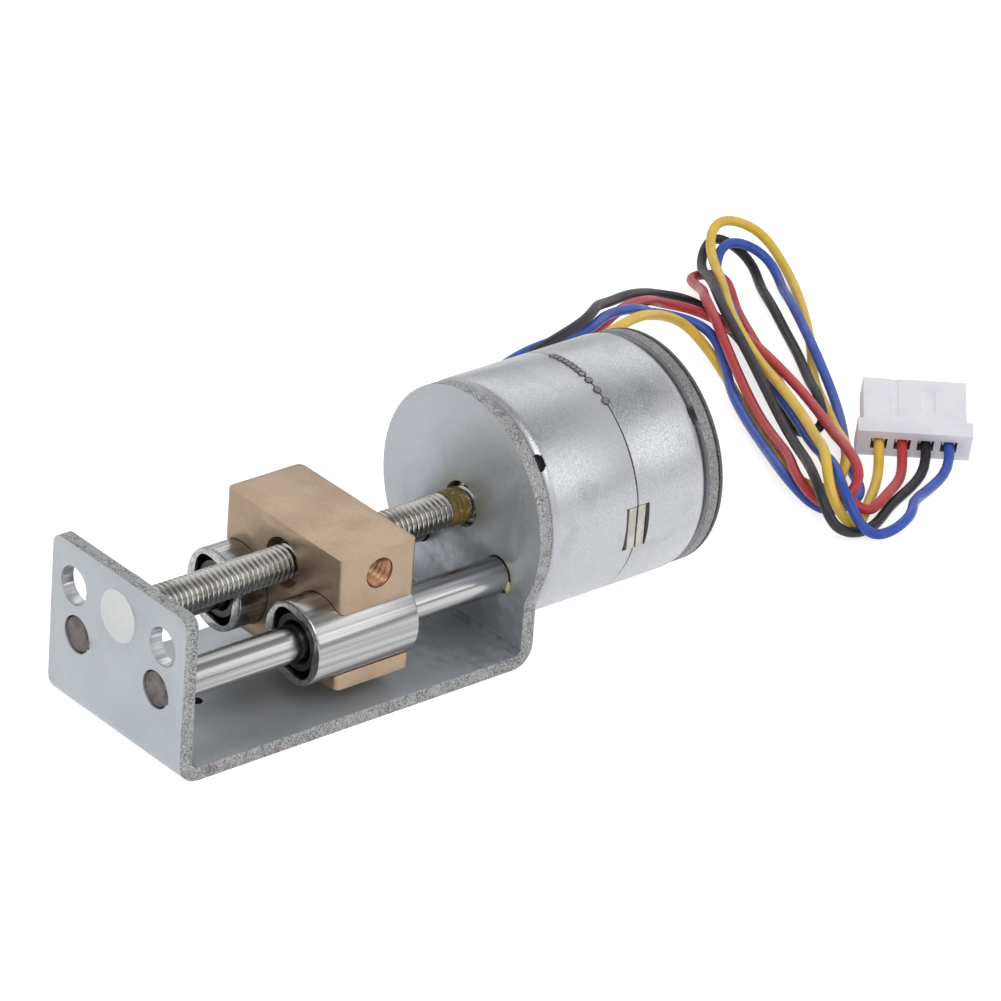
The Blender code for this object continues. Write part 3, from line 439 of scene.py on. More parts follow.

# %% [markdown]
# The bracket is zinc plated sheet: satin, faintly cloudy, with a few dark pits. Glue has
# crept over the rear plate round the screw and the right rod, and a painted shade darkens
# the plate low down, near the corner below. Where the strip was cut, the plating is thin,
# so the edge is coarse, grey and spotted with dark and reddish rust. The punched walls are
# bright with drag lines.

# %% Make the sheet finishes
PLATE_Y = 16.5


def zinc_sheet():
    made = finish("zinc_sheet", (186, 191, 196), 0.42, 0.6)
    cloudy(made, (178, 183, 189), Scale=120.0, Low=0.35, High=0.7)
    specked(made, (120, 116, 118), 0.7, Scale=900.0, Size=0.22, Share=0.06)
    stained(made, (190, 192, 128), 0.35, (0.0, PLATE_Y, SCREW_Z), 3.4)
    stained(made, (190, 192, 128), 0.5, (ROD_X + 0.7, PLATE_Y, ROD_Z), 2.2)
    # Painted shade: a darker patch low on the rear plate and the base near it, where the slider
    # shades them.
    stained(made, (124, 127, 132), 0.6, (3.0, PLATE_Y, 0.5), 9.0)
    grained(made, 2600.0, 4.0, (0.36, 0.5), 0.004, 0.3)
    return made


# Painted shade: the inside of each bend is coloured darker, standing in for the shade in the
# crease.
def bend_painted_shade():
    made = finish("bend_painted_shade", (128, 131, 136), 0.6, 0.5)
    cloudy(made, (104, 107, 112), 0.8, Scale=900.0)
    return made


def sheared_edge():
    made = finish("sheared_edge", (184, 185, 186), 0.5, 0.5)
    worn = mask(made, CLOUDS, Scale=700.0)
    coarse = mask(made, CLOUDS, Scale=6200.0, Low=0.5, High=0.58)
    cloudy(made, (138, 138, 138), 0.85, Scale=8200.0, Detail=6.0, Low=0.44, High=0.58)
    tint(made, both(made, worn, coarse), (98, 97, 98), 0.8)
    specked(made, (226, 226, 226), 0.8, Scale=8200.0, Size=0.45, Share=0.2)
    cloudy(made, (124, 84, 94), 0.45, Scale=420.0, Low=0.58, High=0.7)
    specked(made, (40, 34, 38), 0.9, Scale=7000.0, Size=0.5, Share=0.18)
    grained(made, 4400.0, 5.0, (0.35, 0.7), 0.05, 0.8)
    return made


def punched_wall():
    made = finish("punched_wall", (205, 207, 210), 0.35, 0.8)
    lines = mask(made, STREAKS, Scale=2500.0, Length=0.08)
    tint(made, lines, (150, 152, 156), 0.6)
    vary_roughness(made, lines, 0.25, 0.5)
    dent(made, lines, 0.03, 0.6)
    return made


ZINC = zinc_sheet()
EDGE = sheared_edge()
CREASE_SHADE = bend_painted_shade()
PUNCHED = punched_wall()
print("sheet finishes", ZINC.name, EDGE.name, CREASE_SHADE.name, PUNCHED.name)

# %% [markdown]
# The rods and bushing sleeves are ground steel, mirror bright with faint lines along
# their length. Their ends are dark where they were cut and pressed in. The screw is
# stainless and a little duller, and amber varnish locks its end.

# %% Make the steel finishes
def ground_steel():
    made = finish("ground_steel", (182, 182, 182), 0.2, 1.0)
    lines = mask(made, STREAKS, Scale=2600.0, Length=0.008)
    tint(made, lines, (132, 131, 132), 0.75)
    specked(made, (70, 66, 64), 0.7, Scale=1600.0, Size=0.2, Share=0.1)
    vary_roughness(made, lines, 0.2, 0.26)
    return made


def cut_steel():
    made = finish("cut_steel", (112, 104, 102), 0.5, 0.6)
    cloudy(made, (74, 64, 64), Scale=900.0, Detail=5.0)
    tint(made, mask(made, STREAKS, Scale=1800.0, Length=1.0), (140, 134, 132), 0.4)
    dent(made, mask(made, CLOUDS, Scale=1600.0, Detail=5.0), 0.05, 0.7)
    return made


def screw_steel():
    made = finish("screw_steel", (188, 187, 184), 0.22, 1.0)
    cloudy(made, (140, 135, 126), 0.4, Scale=500.0, High=0.7)
    vary_roughness(made, mask(made, CLOUDS, Scale=1500.0, Low=0.35, High=0.65), 0.2, 0.28)
    return made


def screw_lock():
    made = finish("screw_lock", (128, 106, 52), 0.25)
    cloudy(made, (94, 78, 40), 0.8, Scale=700.0, Detail=4.0, High=0.62)
    cloudy(made, (176, 156, 96), 0.8, Scale=1900.0, Detail=4.0, Low=0.6, High=0.7)
    dent(made, mask(made, CLOUDS, Scale=900.0), 0.06)
    return made


STEEL = ground_steel()
CUT_STEEL = cut_steel()
SCREW_STEEL = screw_steel()
SCREW_LOCK = screw_lock()
print("steel finishes", STEEL.name, CUT_STEEL.name, SCREW_STEEL.name, SCREW_LOCK.name)

# %% [markdown]
# The slider is brass, sanded to a satin tan, and its tapped hole is brighter, because it
# was cut last. The motor can is tin plate, pale and finely grained, with brighter and
# darker patches. The sawn rim of its cover and the welds on its seam are dull and grey,
# and their bright specks are painted glints.

# %% Make the brass and tin finishes
def satin_brass():
    made = finish("satin_brass", (174, 152, 130), 0.4, 0.8)
    cloudy(made, (158, 136, 115), 0.8, Scale=240.0, Detail=4.0, High=0.7)
    specked(made, (140, 108, 90), 0.6, Scale=2600.0, Size=0.3, Share=0.08)
    grained(made, 5000.0, 3.0, (0.3, 0.44), 0.006, 0.4)
    return made


def cut_brass():
    made = finish("cut_brass", (158, 122, 96), 0.3, 1.0)
    cloudy(made, (168, 116, 72), 0.6, Scale=900.0, High=0.7)
    dent(made, mask(made, CLOUDS, Scale=3000.0), 0.004, 0.3)
    return made


def tin_plate():
    made = finish("tin_plate", (194, 195, 199), 0.36, 0.9)
    cloudy(made, (168, 169, 173), 0.7, Scale=7400.0, Detail=4.0, Low=0.35, High=0.65)
    cloudy(made, (180, 182, 186), 0.6, Scale=90.0, Detail=2.0, High=0.7)
    blotch = mask(made, CLOUDS, Scale=210.0, Low=0.54, High=0.66)
    pits = mask(made, SPECKS, Scale=5200.0, Size=0.45, Share=0.4)
    tint(made, blotch, (160, 161, 166), 0.4)
    tint(made, both(made, blotch, pits), (112, 112, 116), 0.7)
    specked(made, (108, 107, 111), 0.6, Scale=2600.0, Size=0.22, Share=0.1)
    grained(made, 6000.0, 5.0, (0.28, 0.48), 0.007, 0.5)
    return made


def sawn_rim(name, ground, dark):
    made = finish(name, ground, 0.5, 0.6)
    cloudy(made, dark, 0.9, Scale=6800.0, Detail=5.0)
    # Painted glints: bright specks over the sawn metal stand in for its sparkle.
    specked(made, (216, 216, 218), 0.8, Scale=7200.0, Size=0.45, Share=0.2)
    dent(made, mask(made, CLOUDS, Scale=4600.0, Detail=5.0), 0.02, 0.7)
    return made


def weld_scale():
    made = finish("weld_scale", (70, 68, 70), 0.5, 0.5)
    cloudy(made, (104, 102, 104), 0.8, Scale=2600.0, Detail=4.0)
    return made


WELD_SCALE = weld_scale()
BRASS = satin_brass()
CUT_BRASS = cut_brass()
TIN = tin_plate()
COVER_EDGE = sawn_rim("cover_edge", (154, 154, 154), (118, 117, 118))
COVER_RIM = sawn_rim("cover_rim", (104, 104, 106), (78, 78, 80))
print("brass and tin finishes", BRASS.name, CUT_BRASS.name, TIN.name, WELD_SCALE.name)

# %% [markdown]
# Plastics: milky nylon in the bearing and the connector, black resin in the bushings,
# natural resin round the terminals, and soft coloured jackets on the wires. They share
# one recipe of a colour, a cloudy shade and a fine grain. A drop of glue follows it too,
# and so do two painted shades: the dark inside deep holes and dents, and the entries,
# which are partly the contacts seen through the shell and partly painted shade.

# %% Make the plastic finishes
def plastic(name, colour, shade, roughness):
    made = finish(name, colour, roughness)
    cloudy(made, shade, 0.7, Scale=420.0, High=0.65)
    grained(made, 3000.0, 3.0, (roughness - 0.06, roughness + 0.08), 0.004, 0.4)
    return made


MILKY = plastic("milky_nylon", (250, 251, 252), (240, 243, 245), 0.34)
LILAC = plastic("lilac_nylon", (250, 250, 255), (240, 240, 250), 0.36)
GLUE = plastic("glue_bead", (192, 192, 150), (170, 168, 112), 0.3)
# Partly painted shade: the entry walls are darkened for the shade inside them, partly the contacts
# seen through the shell.
ENTRY = plastic("entry_shade", (110, 92, 78), (64, 50, 44), 0.5)
# Painted shade: a near black finish for the walls of holes and dents, where shade falls.
RECESS_SHADE = plastic("painted_recess_shade", (34, 34, 36), (24, 24, 26), 0.7)
BLACK = plastic("black_resin", (34, 30, 30), (22, 20, 20), 0.32)
RESIN = plastic("natural_resin", (222, 216, 200), (206, 198, 180), 0.42)
JACKETS = {
    "yellow": plastic("yellow_jacket", (246, 206, 86), (234, 190, 62), 0.42),
    "red": plastic("red_jacket", (200, 66, 70), (184, 48, 56), 0.42),
    "black": plastic("black_jacket", (30, 30, 37), (20, 20, 27), 0.5),
    "blue": plastic("blue_jacket", (56, 92, 190), (40, 68, 164), 0.4),
}
print("jackets", list(JACKETS))

# %% [markdown]
# Inside the motor are copper windings, stamped yokes, a dark magnet and bushes of oiled
# bronze, and the contacts are tinned. Apart from the windings, each is a metal with one
# cloudy shade and a light relief. The windings are streaks that run round the axis
# instead of along it, because Y is stretched rather than squeezed.

# %% Make the finishes inside the motor
def wound_copper():
    made = finish("wound_copper", (196, 112, 64), 0.3, 1.0)
    turns = mask(made, STREAKS, Scale=60.0, Length=90.0, Low=0.4, High=0.6)
    tint(made, turns, (140, 66, 34), 0.8)
    dent(made, turns, 0.04, 0.8)
    return made


def yoke_plate():
    made = finish("yoke_plate", (198, 196, 188), 0.4, 0.6)
    cloudy(made, (176, 173, 164), 0.8, Scale=900.0, Detail=4.0)
    dent(made, mask(made, CLOUDS, Scale=2400.0), 0.01)
    return made


def dark_magnet():
    made = finish("dark_magnet", (62, 58, 58), 0.55, 0.2)
    cloudy(made, (86, 80, 78), 0.6, Scale=1600.0, Detail=5.0)
    dent(made, mask(made, CLOUDS, Scale=2600.0), 0.02)
    return made


def oiled_bronze():
    made = finish("oiled_bronze", (168, 128, 84), 0.38, 0.9)
    cloudy(made, (124, 90, 58), 0.7, Scale=1500.0, Detail=5.0)
    dent(made, mask(made, CLOUDS, Scale=2600.0), 0.01)
    return made


def tinned_contact():
    made = finish("tinned_contact", (196, 186, 168), 0.3, 1.0)
    cloudy(made, (148, 132, 108), 0.7, Scale=1500.0, Detail=4.0)
    dent(made, mask(made, CLOUDS, Scale=2600.0), 0.01)
    return made


COPPER = wound_copper()
YOKE = yoke_plate()
MAGNET = dark_magnet()
BRONZE = oiled_bronze()
CONTACT = tinned_contact()
print("finishes so far", len(bpy.data.materials))

# %% [markdown]
# Most pieces are either turned round the axis of the screw or a rod, or cut from solid
# stock. Turned ones are a profile of points spun with bmesh, then their ring edges are
# beveled. Cut ones are boxes and copies of CAD nodes with a fine bevel, because no real
# edge is perfectly sharp. All are drawn in millimetres and made metres at the end.

# %% Make the helpers for pieces
def add_piece(name, bm, body, materials, replaces=(), smooth=40.0):
    """Makes the bmesh a finished piece that rides on a body."""
    bmesh.ops.scale(bm, vec=(MM, MM, MM), verts=bm.verts)
    mesh = bpy.data.meshes.new(name)
    bm.to_mesh(mesh)
    bm.free()
    piece = bpy.data.objects.new(name, mesh)
    bpy.context.collection.objects.link(piece)
    for material in materials:
        mesh.materials.append(material)
    mesh.shade_smooth()
    mesh.set_sharp_from_angle(angle=math.radians(smooth))
    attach(piece, body)
    if replaces:
        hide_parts(*replaces)
    print(name, len(mesh.polygons), "faces")
    return piece


def sort_faces(bm, slot_of):
    """Gives each face the number of its finish."""
    bm.normal_update()
    for face in bm.faces:
        face.material_index = int(slot_of(face))


def bevel(bm, edges, offset, segments, clamp=False):
    bmesh.ops.bevel(
        bm,
        geom=edges,
        offset=offset,
        segments=segments,
        profile=0.5,
        affect="EDGES",
        material=-1,
        clamp_overlap=clamp,
    )


def ease_edges(bm, offset, segments=2):
    """Bevels every edge whose faces meet at more than 30 degrees."""
    limit = math.radians(30.0)
    sharp = [e for e in bm.edges if len(e.link_faces) == 2 and e.calc_face_angle() > limit]
    bevel(bm, sharp, offset, segments, clamp=True)


def node_box(node):
    low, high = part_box(node)
    return Vector(low) / MM, Vector(high) / MM


def copy_of(node):
    """A clean copy of a CAD node, its doubles merged and its flats whole."""
    bm = bmesh.new()
    bm.from_mesh(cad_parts[node].data)
    bmesh.ops.scale(bm, vec=(1 / MM, 1 / MM, 1 / MM), verts=bm.verts)
    bmesh.ops.remove_doubles(bm, verts=bm.verts, dist=1e-3)
    bmesh.ops.dissolve_limit(bm, angle_limit=math.radians(1), verts=bm.verts, edges=bm.edges)
    return bm


def from_axis(point, centre):
    """How far a point is from an axis along Y."""
    return math.hypot(point.x - centre[0], point.z - centre[1])


print("bracket box", [[round(v, 2) for v in corner] for corner in node_box("bracket")])

# %% [markdown]
# Turning is one helper: a few points become a chain of edges, and a spin takes it round.
# A profile that starts and ends on the axis stays open, because the spin closes it. Its
# ring edges are found again by their place and rounded.

# %% Make the helpers for turning
def turned(profile, centre, steps, closed=True):
    """Spins (y, radius) points round the axis along Y at this x and z."""
    bm = bmesh.new()
    x, z = centre
    ring = [bm.verts.new((x + radius, y, z)) for y, radius in profile]
    pairs = list(zip(ring, ring[1:]))
    if closed:
        pairs.append((ring[-1], ring[0]))
    edges = [bm.edges.new(pair) for pair in pairs]
    bmesh.ops.spin(
        bm,
        geom=ring + edges,
        cent=(x, 0, z),
        axis=(0, 1, 0),
        angle=2 * math.pi,
        steps=steps,
        use_merge=True,
    )
    bmesh.ops.remove_doubles(bm, verts=bm.verts, dist=1e-4)
    bmesh.ops.recalc_face_normals(bm, faces=bm.faces)
    return bm


def round_ring(bm, centre, y, radius, offset, segments=3):
    """Rounds the ring edge at this y and this distance from the axis."""
    def on_ring(point):
        return abs(point.y - y) < 0.01 and abs(from_axis(point, centre) - radius) < 0.01

    edges = [edge for edge in bm.edges if all(on_ring(vert.co) for vert in edge.verts)]
    bevel(bm, edges, offset, segments)


def ball(radius, shape, fineness):
    """A ball stretched by the three factors of a shape."""
    bm = bmesh.new()
    bmesh.ops.create_icosphere(bm, subdivisions=fineness, radius=radius)
    bmesh.ops.scale(bm, vec=shape, verts=bm.verts)
    return bm


print("turning round", AXIS, "and", (ROD_X, ROD_Z))

# %% [markdown]
# Holes and slots are cut with Boolean modifiers, whose result is made the mesh before
# the edges are eased. Drilling with the same tools as the CAD keeps both in step. A drill
# is a cylinder, made along Z and turned to lie along X or Y.

# %% Make the helpers for cutting
LAY = {"X": (90, "Y"), "Y": (90, "X"), "Z": (0, "Z")}


def boxed(low, high):
    bm = bmesh.new()
    bmesh.ops.create_cube(bm, size=1.0)
    low, high = Vector(low), Vector(high)
    bmesh.ops.scale(bm, vec=high - low, verts=bm.verts)
    bmesh.ops.translate(bm, vec=(low + high) / 2, verts=bm.verts)
    return bm


def rod_along(axis, centre, radius, start, end, steps):
    """A cylinder along one axis. Its centre gives the other two places, in order."""
    bm = bmesh.new()
    bmesh.ops.create_cone(
        bm, cap_ends=True, segments=steps, radius1=radius, radius2=radius, depth=end - start
    )
    place = list(centre)
    place.insert("XYZ".index(axis), (start + end) / 2)
    angle, about = LAY[axis]
    lay = Matrix.Rotation(math.radians(angle), 4, about)
    bmesh.ops.transform(bm, matrix=Matrix.Translation(place) @ lay, verts=bm.verts)
    return bm


def cut_from(bm, cutters, operation="DIFFERENCE"):
    """Applies exact Booleans, one for each cutter, and returns the new bmesh."""
    def temporary(name, shape):
        mesh = bpy.data.meshes.new(name)
        shape.to_mesh(mesh)
        shape.free()
        made = bpy.data.objects.new(name, mesh)
        bpy.context.collection.objects.link(made)
        return made

    target = temporary("stock", bm)
    tools = [temporary("cutter", cutter) for cutter in cutters]
    for tool in tools:
        modifier = target.modifiers.new("cut", "BOOLEAN")
        modifier.operation = operation
        modifier.solver = "EXACT"
        modifier.object = tool
    graph = bpy.context.evaluated_depsgraph_get()
    result = bmesh.new()
    result.from_mesh(target.evaluated_get(graph).to_mesh())
    for made in (target, *tools):
        mesh = made.data
        bpy.data.objects.remove(made)
        bpy.data.meshes.remove(mesh)
    bmesh.ops.remove_doubles(result, verts=result.verts, dist=1e-4)
    limit = math.radians(0.5)
    bmesh.ops.dissolve_limit(result, angle_limit=limit, verts=result.verts, edges=result.edges)
    return result


def join(bm, other):
    mesh = bpy.data.meshes.new("joined")
    other.to_mesh(mesh)
    other.free()
    bm.from_mesh(mesh)
    bpy.data.meshes.remove(mesh)


print("cutters lie along", list(LAY))

# %% [markdown]
# The bracket is one strip of sheet folded up at both ends. Its CAD solid has the right
# form, so a copy gets eased edges. Each face is then plated sheet, sheared edge or
# punched wall. The walls of a hole are the faces that look towards its axis. The inside
# of each bend is dull and painted darker, as painted shade. A small pilot hole in the
# base has its wall painted dark, as painted shade.

# %% Finish the bracket
BEND_TOP = 3.2
PILOT = (0.3, -9.8)
PILOT_R = 0.55
HOLES = [(-5.75, SCREW_Z), (5.75, SCREW_Z), (0.0, SCREW_Z), (-ROD_X, ROD_Z), (ROD_X, ROD_Z)]
HOLE_REACH = 2.4
FLAT, SHEARED, WALL, HOLE_SHADE, BENT_SHADE = range(5)


def sheet_side(face):
    middle = face.calc_center_median()
    across = abs(face.normal.x) > 0.6
    upright = middle.z > BEND_TOP and abs(face.normal.y) < 0.5
    # Painted shade: the pilot hole's wall takes the near black finish, standing in for the shade
    # inside it.
    if math.dist(middle.xy, PILOT) < PILOT_R + 0.05 and abs(face.normal.z) < 0.3:
        return HOLE_SHADE
    # Painted shade: faces inside the bends take the darker bend finish.
    if middle.z < BEND_TOP and 0.15 < face.normal.z < 0.97 and abs(face.normal.y) > 0.15:
        return BENT_SHADE
    if not across and not upright:
        return FLAT
    if middle.z > BEND_TOP:
        for x, z in HOLES:
            inward = Vector((x - middle.x, 0, z - middle.z))
            if inward.length < HOLE_REACH and inward.normalized().dot(face.normal) > 0.7:
                return WALL
    return SHEARED


bm = copy_of("bracket")
ease_edges(bm, 0.09)
bm = cut_from(bm, [rod_along("Z", PILOT, PILOT_R, -1.0, 3.0, 32)])
sort_faces(bm, sheet_side)
add_piece("bracket_sheet", bm, "base", [ZINC, EDGE, PUNCHED, RECESS_SHADE, CREASE_SHADE], ["bracket"])

# %% [markdown]
# The rods are ground bar, pressed into both plates. Their front ends show dark in the
# plate, with a small lump of weld at the right of each. A lump is a ball, flattened and
# made uneven by two waves.

# %% Turn the guide rods
ROD_ROUND = 0.18
LUMP_SHAPE = (0.8, 0.45, 1.25)
LUMP_ASIDE = 1.35


def make_rod(word, side):
    centre = (side * ROD_X, ROD_Z)
    low, high = node_box("guide_rod_" + word)
    radius = (high.x - low.x) / 2
    bar = turned([(low.y, 0), (low.y, radius), (high.y, radius), (high.y, 0)], centre, 64, False)
    round_ring(bar, centre, low.y, radius, ROD_ROUND)
    round_ring(bar, centre, high.y, radius, ROD_ROUND)
    sort_faces(bar, lambda face: abs(face.normal.y) > 0.3)
    add_piece(f"guide_rod_{word}_bar", bar, "base", [STEEL, CUT_STEEL], ["guide_rod_" + word])
    lump = ball(0.5, LUMP_SHAPE, 3)
    for vert in lump.verts:
        vert.co *= 1.0 + 0.16 * math.sin(9 * vert.co.x + 3) * math.cos(11 * vert.co.z)
    place = (centre[0] + LUMP_ASIDE, low.y + 0.02, centre[1] - 0.25)
    bmesh.ops.translate(lump, vec=place, verts=lump.verts)
    add_piece(f"rod_weld_{word}", lump, "base", [CUT_STEEL])


make_rod("left", -1)
make_rod("right", 1)

# %% [markdown]
# A drop of glue hangs where the right rod enters the rear plate. It is a tall ball, sunk
# a little into both.

# %% Leave a drop of glue on the right rod
DROP_SHAPE = (0.55, 0.5, 1.3)
drop = ball(0.45, DROP_SHAPE, 3)
bmesh.ops.translate(drop, vec=(ROD_X + 1.4, PLATE_Y - 0.1, ROD_Z - 0.5), verts=drop.verts)
add_piece("glue_drop", drop, "base", [GLUE])

# %% [markdown]
# The screw turns in a milky plastic cup that bulges a little from the front plate. The
# mould left a small ring mark in its middle. The profile runs from that middle, over the
# face and the rim, through the plate to the flange, and back along the bore.

# %% Turn the front bearing
RIM_Y = 0.2
FLANGE_Y = RIM_Y + 1.2 + 0.1
FLANGE_R = 3.0
PIN_BORE_R = 0.85
low, high = node_box("front_bearing")
profile = [
    (0.0, 0.0),
    (0.01, 0.36),
    (0.09, 0.42),
    (0.01, 0.5),
    (0.01, 1.25),
    (0.06, 1.35),
    (0.06, 1.8),
    (0.18, 2.2),
    (RIM_Y, 2.2),
    (RIM_Y, 2.1),
    (FLANGE_Y, 2.1),
    (FLANGE_Y, FLANGE_R),
    (high.y - low.y, FLANGE_R),
    (high.y - low.y, PIN_BORE_R),
    (0.8, PIN_BORE_R),
    (0.8, 0.0),
]
cup = turned([(low.y + y, radius) for y, radius in profile], AXIS, 72, False)
round_ring(cup, AXIS, high.y, FLANGE_R, 0.12)
add_piece("front_bearing_cup", cup, "base", [MILKY], ["front_bearing"])

# %% [markdown]
# The thread is a real helix. One tooth profile, a single pitch long, is spun round the
# axis while it climbs, so that each turn ends where the next begins. A smooth bar with a
# striped material would look flat at the edge. Both ends are then cut square and closed.

# %% Make the helper for threads
THREAD_PITCH = 0.5


def threaded(start, end, axis_z, radius, depth, tooth, steps=40):
    """A thread from start to end along Y. A tooth lists (y, share of the depth)."""
    bm = bmesh.new()
    turns = math.ceil((end - start) / THREAD_PITCH) + 2
    first = start - THREAD_PITCH
    line = [bm.verts.new((radius - depth * deep, first + y, axis_z)) for y, deep in tooth]
    edges = [bm.edges.new(pair) for pair in zip(line, line[1:])]
    bmesh.ops.spin(
        bm,
        geom=line + edges,
        cent=(0, 0, axis_z),
        axis=(0, 1, 0),
        dvec=(0, THREAD_PITCH / steps, 0),
        angle=2 * math.pi * turns,
        steps=steps * turns,
    )
    bmesh.ops.remove_doubles(bm, verts=bm.verts, dist=1e-3)
    for y, way in ((start, -1), (end, 1)):
        whole = bm.verts[:] + bm.edges[:] + bm.faces[:]
        bmesh.ops.bisect_plane(
            bm, geom=whole, plane_co=(0, y, 0), plane_no=(0, way, 0), clear_outer=True
        )
        rim = [e for e in bm.edges if e.is_boundary and abs(e.verts[0].co.y - y) < 1e-3]
        bmesh.ops.holes_fill(bm, edges=rim, sides=0)
    bmesh.ops.recalc_face_normals(bm, faces=bm.faces)
    return bm


print("pitch", THREAD_PITCH, "mm")

# %% [markdown]
# The thread tapers at both ends, as a cut one does, so points too far from the axis are
# drawn in there. A thin pin runs on into the bearing and a thicker shaft into the motor.

# %% Cut the lead screw
THREAD_R = 1.475
THREAD_DEPTH = 0.27
THREAD_START, THREAD_END = -15.5, 17.2
END_R = 1.2
PIN_R, SHAFT_R = 0.75, 1.0
TOOTH = [(0.0, 0.0), (0.05, 0.0), (0.21, 1.0), (0.27, 1.0), (0.45, 0.06), (0.5, 0.0)]

screw = threaded(THREAD_START, THREAD_END, SCREW_Z, THREAD_R, THREAD_DEPTH, TOOTH)
for vert in screw.verts:
    into = min(vert.co.y - THREAD_START, THREAD_END - vert.co.y)
    share = (END_R + into) / max(from_axis(vert.co, AXIS), 1e-6)
    if share < 1:
        vert.co.x *= share
        vert.co.z = SCREW_Z + (vert.co.z - SCREW_Z) * share
low, high = node_box("lead_screw")
for start, end, radius in (
    (low.y, THREAD_START + 0.1, PIN_R),
    (THREAD_END - 0.1, high.y, SHAFT_R),
):
    profile = [(start, 0), (start, radius), (end, radius), (end, 0)]
    join(screw, turned(profile, AXIS, 48, False))
add_piece("lead_screw_thread", screw, "screw", [SCREW_STEEL], ["lead_screw"], smooth=30.0)

# %% [markdown]
# Near the motor the thread is filled with amber locking varnish. It follows the thread
# softly, so the same helix is used with shallow, rounded teeth.

# %% Coat the end of the thread
LOCK_START, LOCK_END = 14.5, 16.3
LOCK_T = 0.06
SOFT_TOOTH = [(0.0, 0.0), (0.12, 0.15), (0.25, 1.0), (0.38, 0.15), (0.5, 0.0)]
film = threaded(LOCK_START, LOCK_END, SCREW_Z, THREAD_R + LOCK_T, LOCK_T, SOFT_TOOTH)
add_piece("screw_lock_film", film, "screw", [SCREW_LOCK], smooth=60.0)

# %% [markdown]
# The slider block is sawn from brass bar, bored for the bushings and the screw nut, and
# its edges are eased. Its upright corners are rounder than the rest.

# %% Saw and bore the slider block
BUSHING_R = 3.5
BORE_R = BUSHING_R + 0.05
NUT_R = THREAD_R + 0.1
MOUTH_R, MOUTH_DEPTH = 2.1, 1.4
TAP_R, TAP_DEPTH = 1.3, 5.4
CORNER_R = 0.6

low, high = node_box("slider_block")
tap_place = (low.y + 3.75, 12.5)
block = boxed(low, high)
upright = [e for e in block.edges if abs(e.verts[0].co.z - e.verts[1].co.z) > 1]
bevel(block, upright, CORNER_R, 5)
past = (low.y - 1, high.y + 1)
drills = [
    rod_along("Y", (-ROD_X, ROD_Z), BORE_R, *past, 96),
    rod_along("Y", (ROD_X, ROD_Z), BORE_R, *past, 96),
    rod_along("Y", AXIS, NUT_R, *past, 64),
    rod_along("Y", AXIS, MOUTH_R, low.y - 1, low.y + MOUTH_DEPTH, 64),
    rod_along("X", tap_place, TAP_R, high.x - TAP_DEPTH, high.x + 1, 64),
]
block = cut_from(block, drills)
ease_edges(block, 0.2, 3)
add_piece("slider_block_brass", block, "slider", [BRASS], ["slider_block"], smooth=35.0)

# %% [markdown]
# The tapped hole in the block's side shows its thread as bright rings. It is the same
# kind of helix as the screw, laid along X as a thin closed lining with its ridges
# turned inwards.

# %% Tap the side hole
INNER_TOOTH = [(0.0, 0.0), (0.25, 1.0), (0.5, 0.0)]
LINING_T = 0.1
lining = threaded(0.0, TAP_DEPTH - 0.5, 0.0, TAP_R + 0.03, THREAD_DEPTH, INNER_TOOTH, 32)
caps = [face for face in lining.faces if abs(face.normal.y) > 0.99]
bmesh.ops.delete(lining, geom=caps, context="FACES_ONLY")
bmesh.ops.solidify(lining, geom=lining.faces[:], thickness=-LINING_T)
bmesh.ops.recalc_face_normals(lining, faces=lining.faces)
lay = Matrix.Rotation(math.radians(90), 4, "Z")
place = Matrix.Translation((high.x - 0.25, *tap_place))
bmesh.ops.transform(lining, matrix=place @ lay, verts=lining.verts)
add_piece("side_tap_thread", lining, "slider", [CUT_BRASS], smooth=30.0)

# %% [markdown]
# Each bushing is a hardened sleeve round a black cage. The sleeve's mouth is not round
# inside: it bulges inwards between the rows of balls. So the inner ring is moved in and
# out by a wave after the spin.

# %% Turn the bushings
MOUTH_RIM = 0.35
SLEEVE_ROUND = 0.16
INSIDE_R = 3.2
WAVE_DEPTH = 0.22


def wave_mouth(bm, centre):
    for vert in bm.verts:
        out = Vector((vert.co.x - centre[0], 0, vert.co.z - centre[1]))
        if out.length < INSIDE_R:
            wave = WAVE_DEPTH * math.cos(4 * math.atan2(out.z, out.x) + 0.6)
            vert.co -= out.normalized() * (0.16 + wave)


def mirrored(profile, middle_y):
    """Adds the same points again, back to front, on the other side of a middle."""
    return profile + [(2 * middle_y - y, radius) for y, radius in reversed(profile)]


def make_bushing(word, side):
    centre = (side * ROD_X, ROD_Z)
    low, high = node_box("bushing_sleeve_" + word)
    half = [(low.y + MOUTH_RIM, 2.9), (low.y, 2.95), (low.y, BUSHING_R)]
    sleeve = turned(mirrored(half, (low.y + high.y) / 2), centre, 96)
    wave_mouth(sleeve, centre)
    round_ring(sleeve, centre, low.y, BUSHING_R, SLEEVE_ROUND)
    round_ring(sleeve, centre, high.y, BUSHING_R, SLEEVE_ROUND)
    name = "bushing_sleeve_" + word
    add_piece(name + "_ground", sleeve, "slider", [STEEL], [name])
    name = "bushing_cage_" + word
    low, high = node_box(name)
    half = [(low.y + 0.3, 1.62), (low.y, 1.85), (low.y, 2.35), (low.y + 0.4, 2.5)]
    cage = turned(mirrored(half, (low.y + high.y) / 2), centre, 64)
    add_piece(name + "_resin", cage, "slider", [BLACK], [name])


make_bushing("left", -1)
make_bushing("right", 1)

# %% [markdown]
# The motor is two drawn cans of tin plate that meet at a seam, with a flat cover pressed
# on behind. Each can is a thin profile spun round the axis. A small window shows the
# yoke tabs on the right, and the terminals come out on the left. Each can has a small
# dent in its rim, where the press tool held it, and the dent is painted dark as painted
# shade.

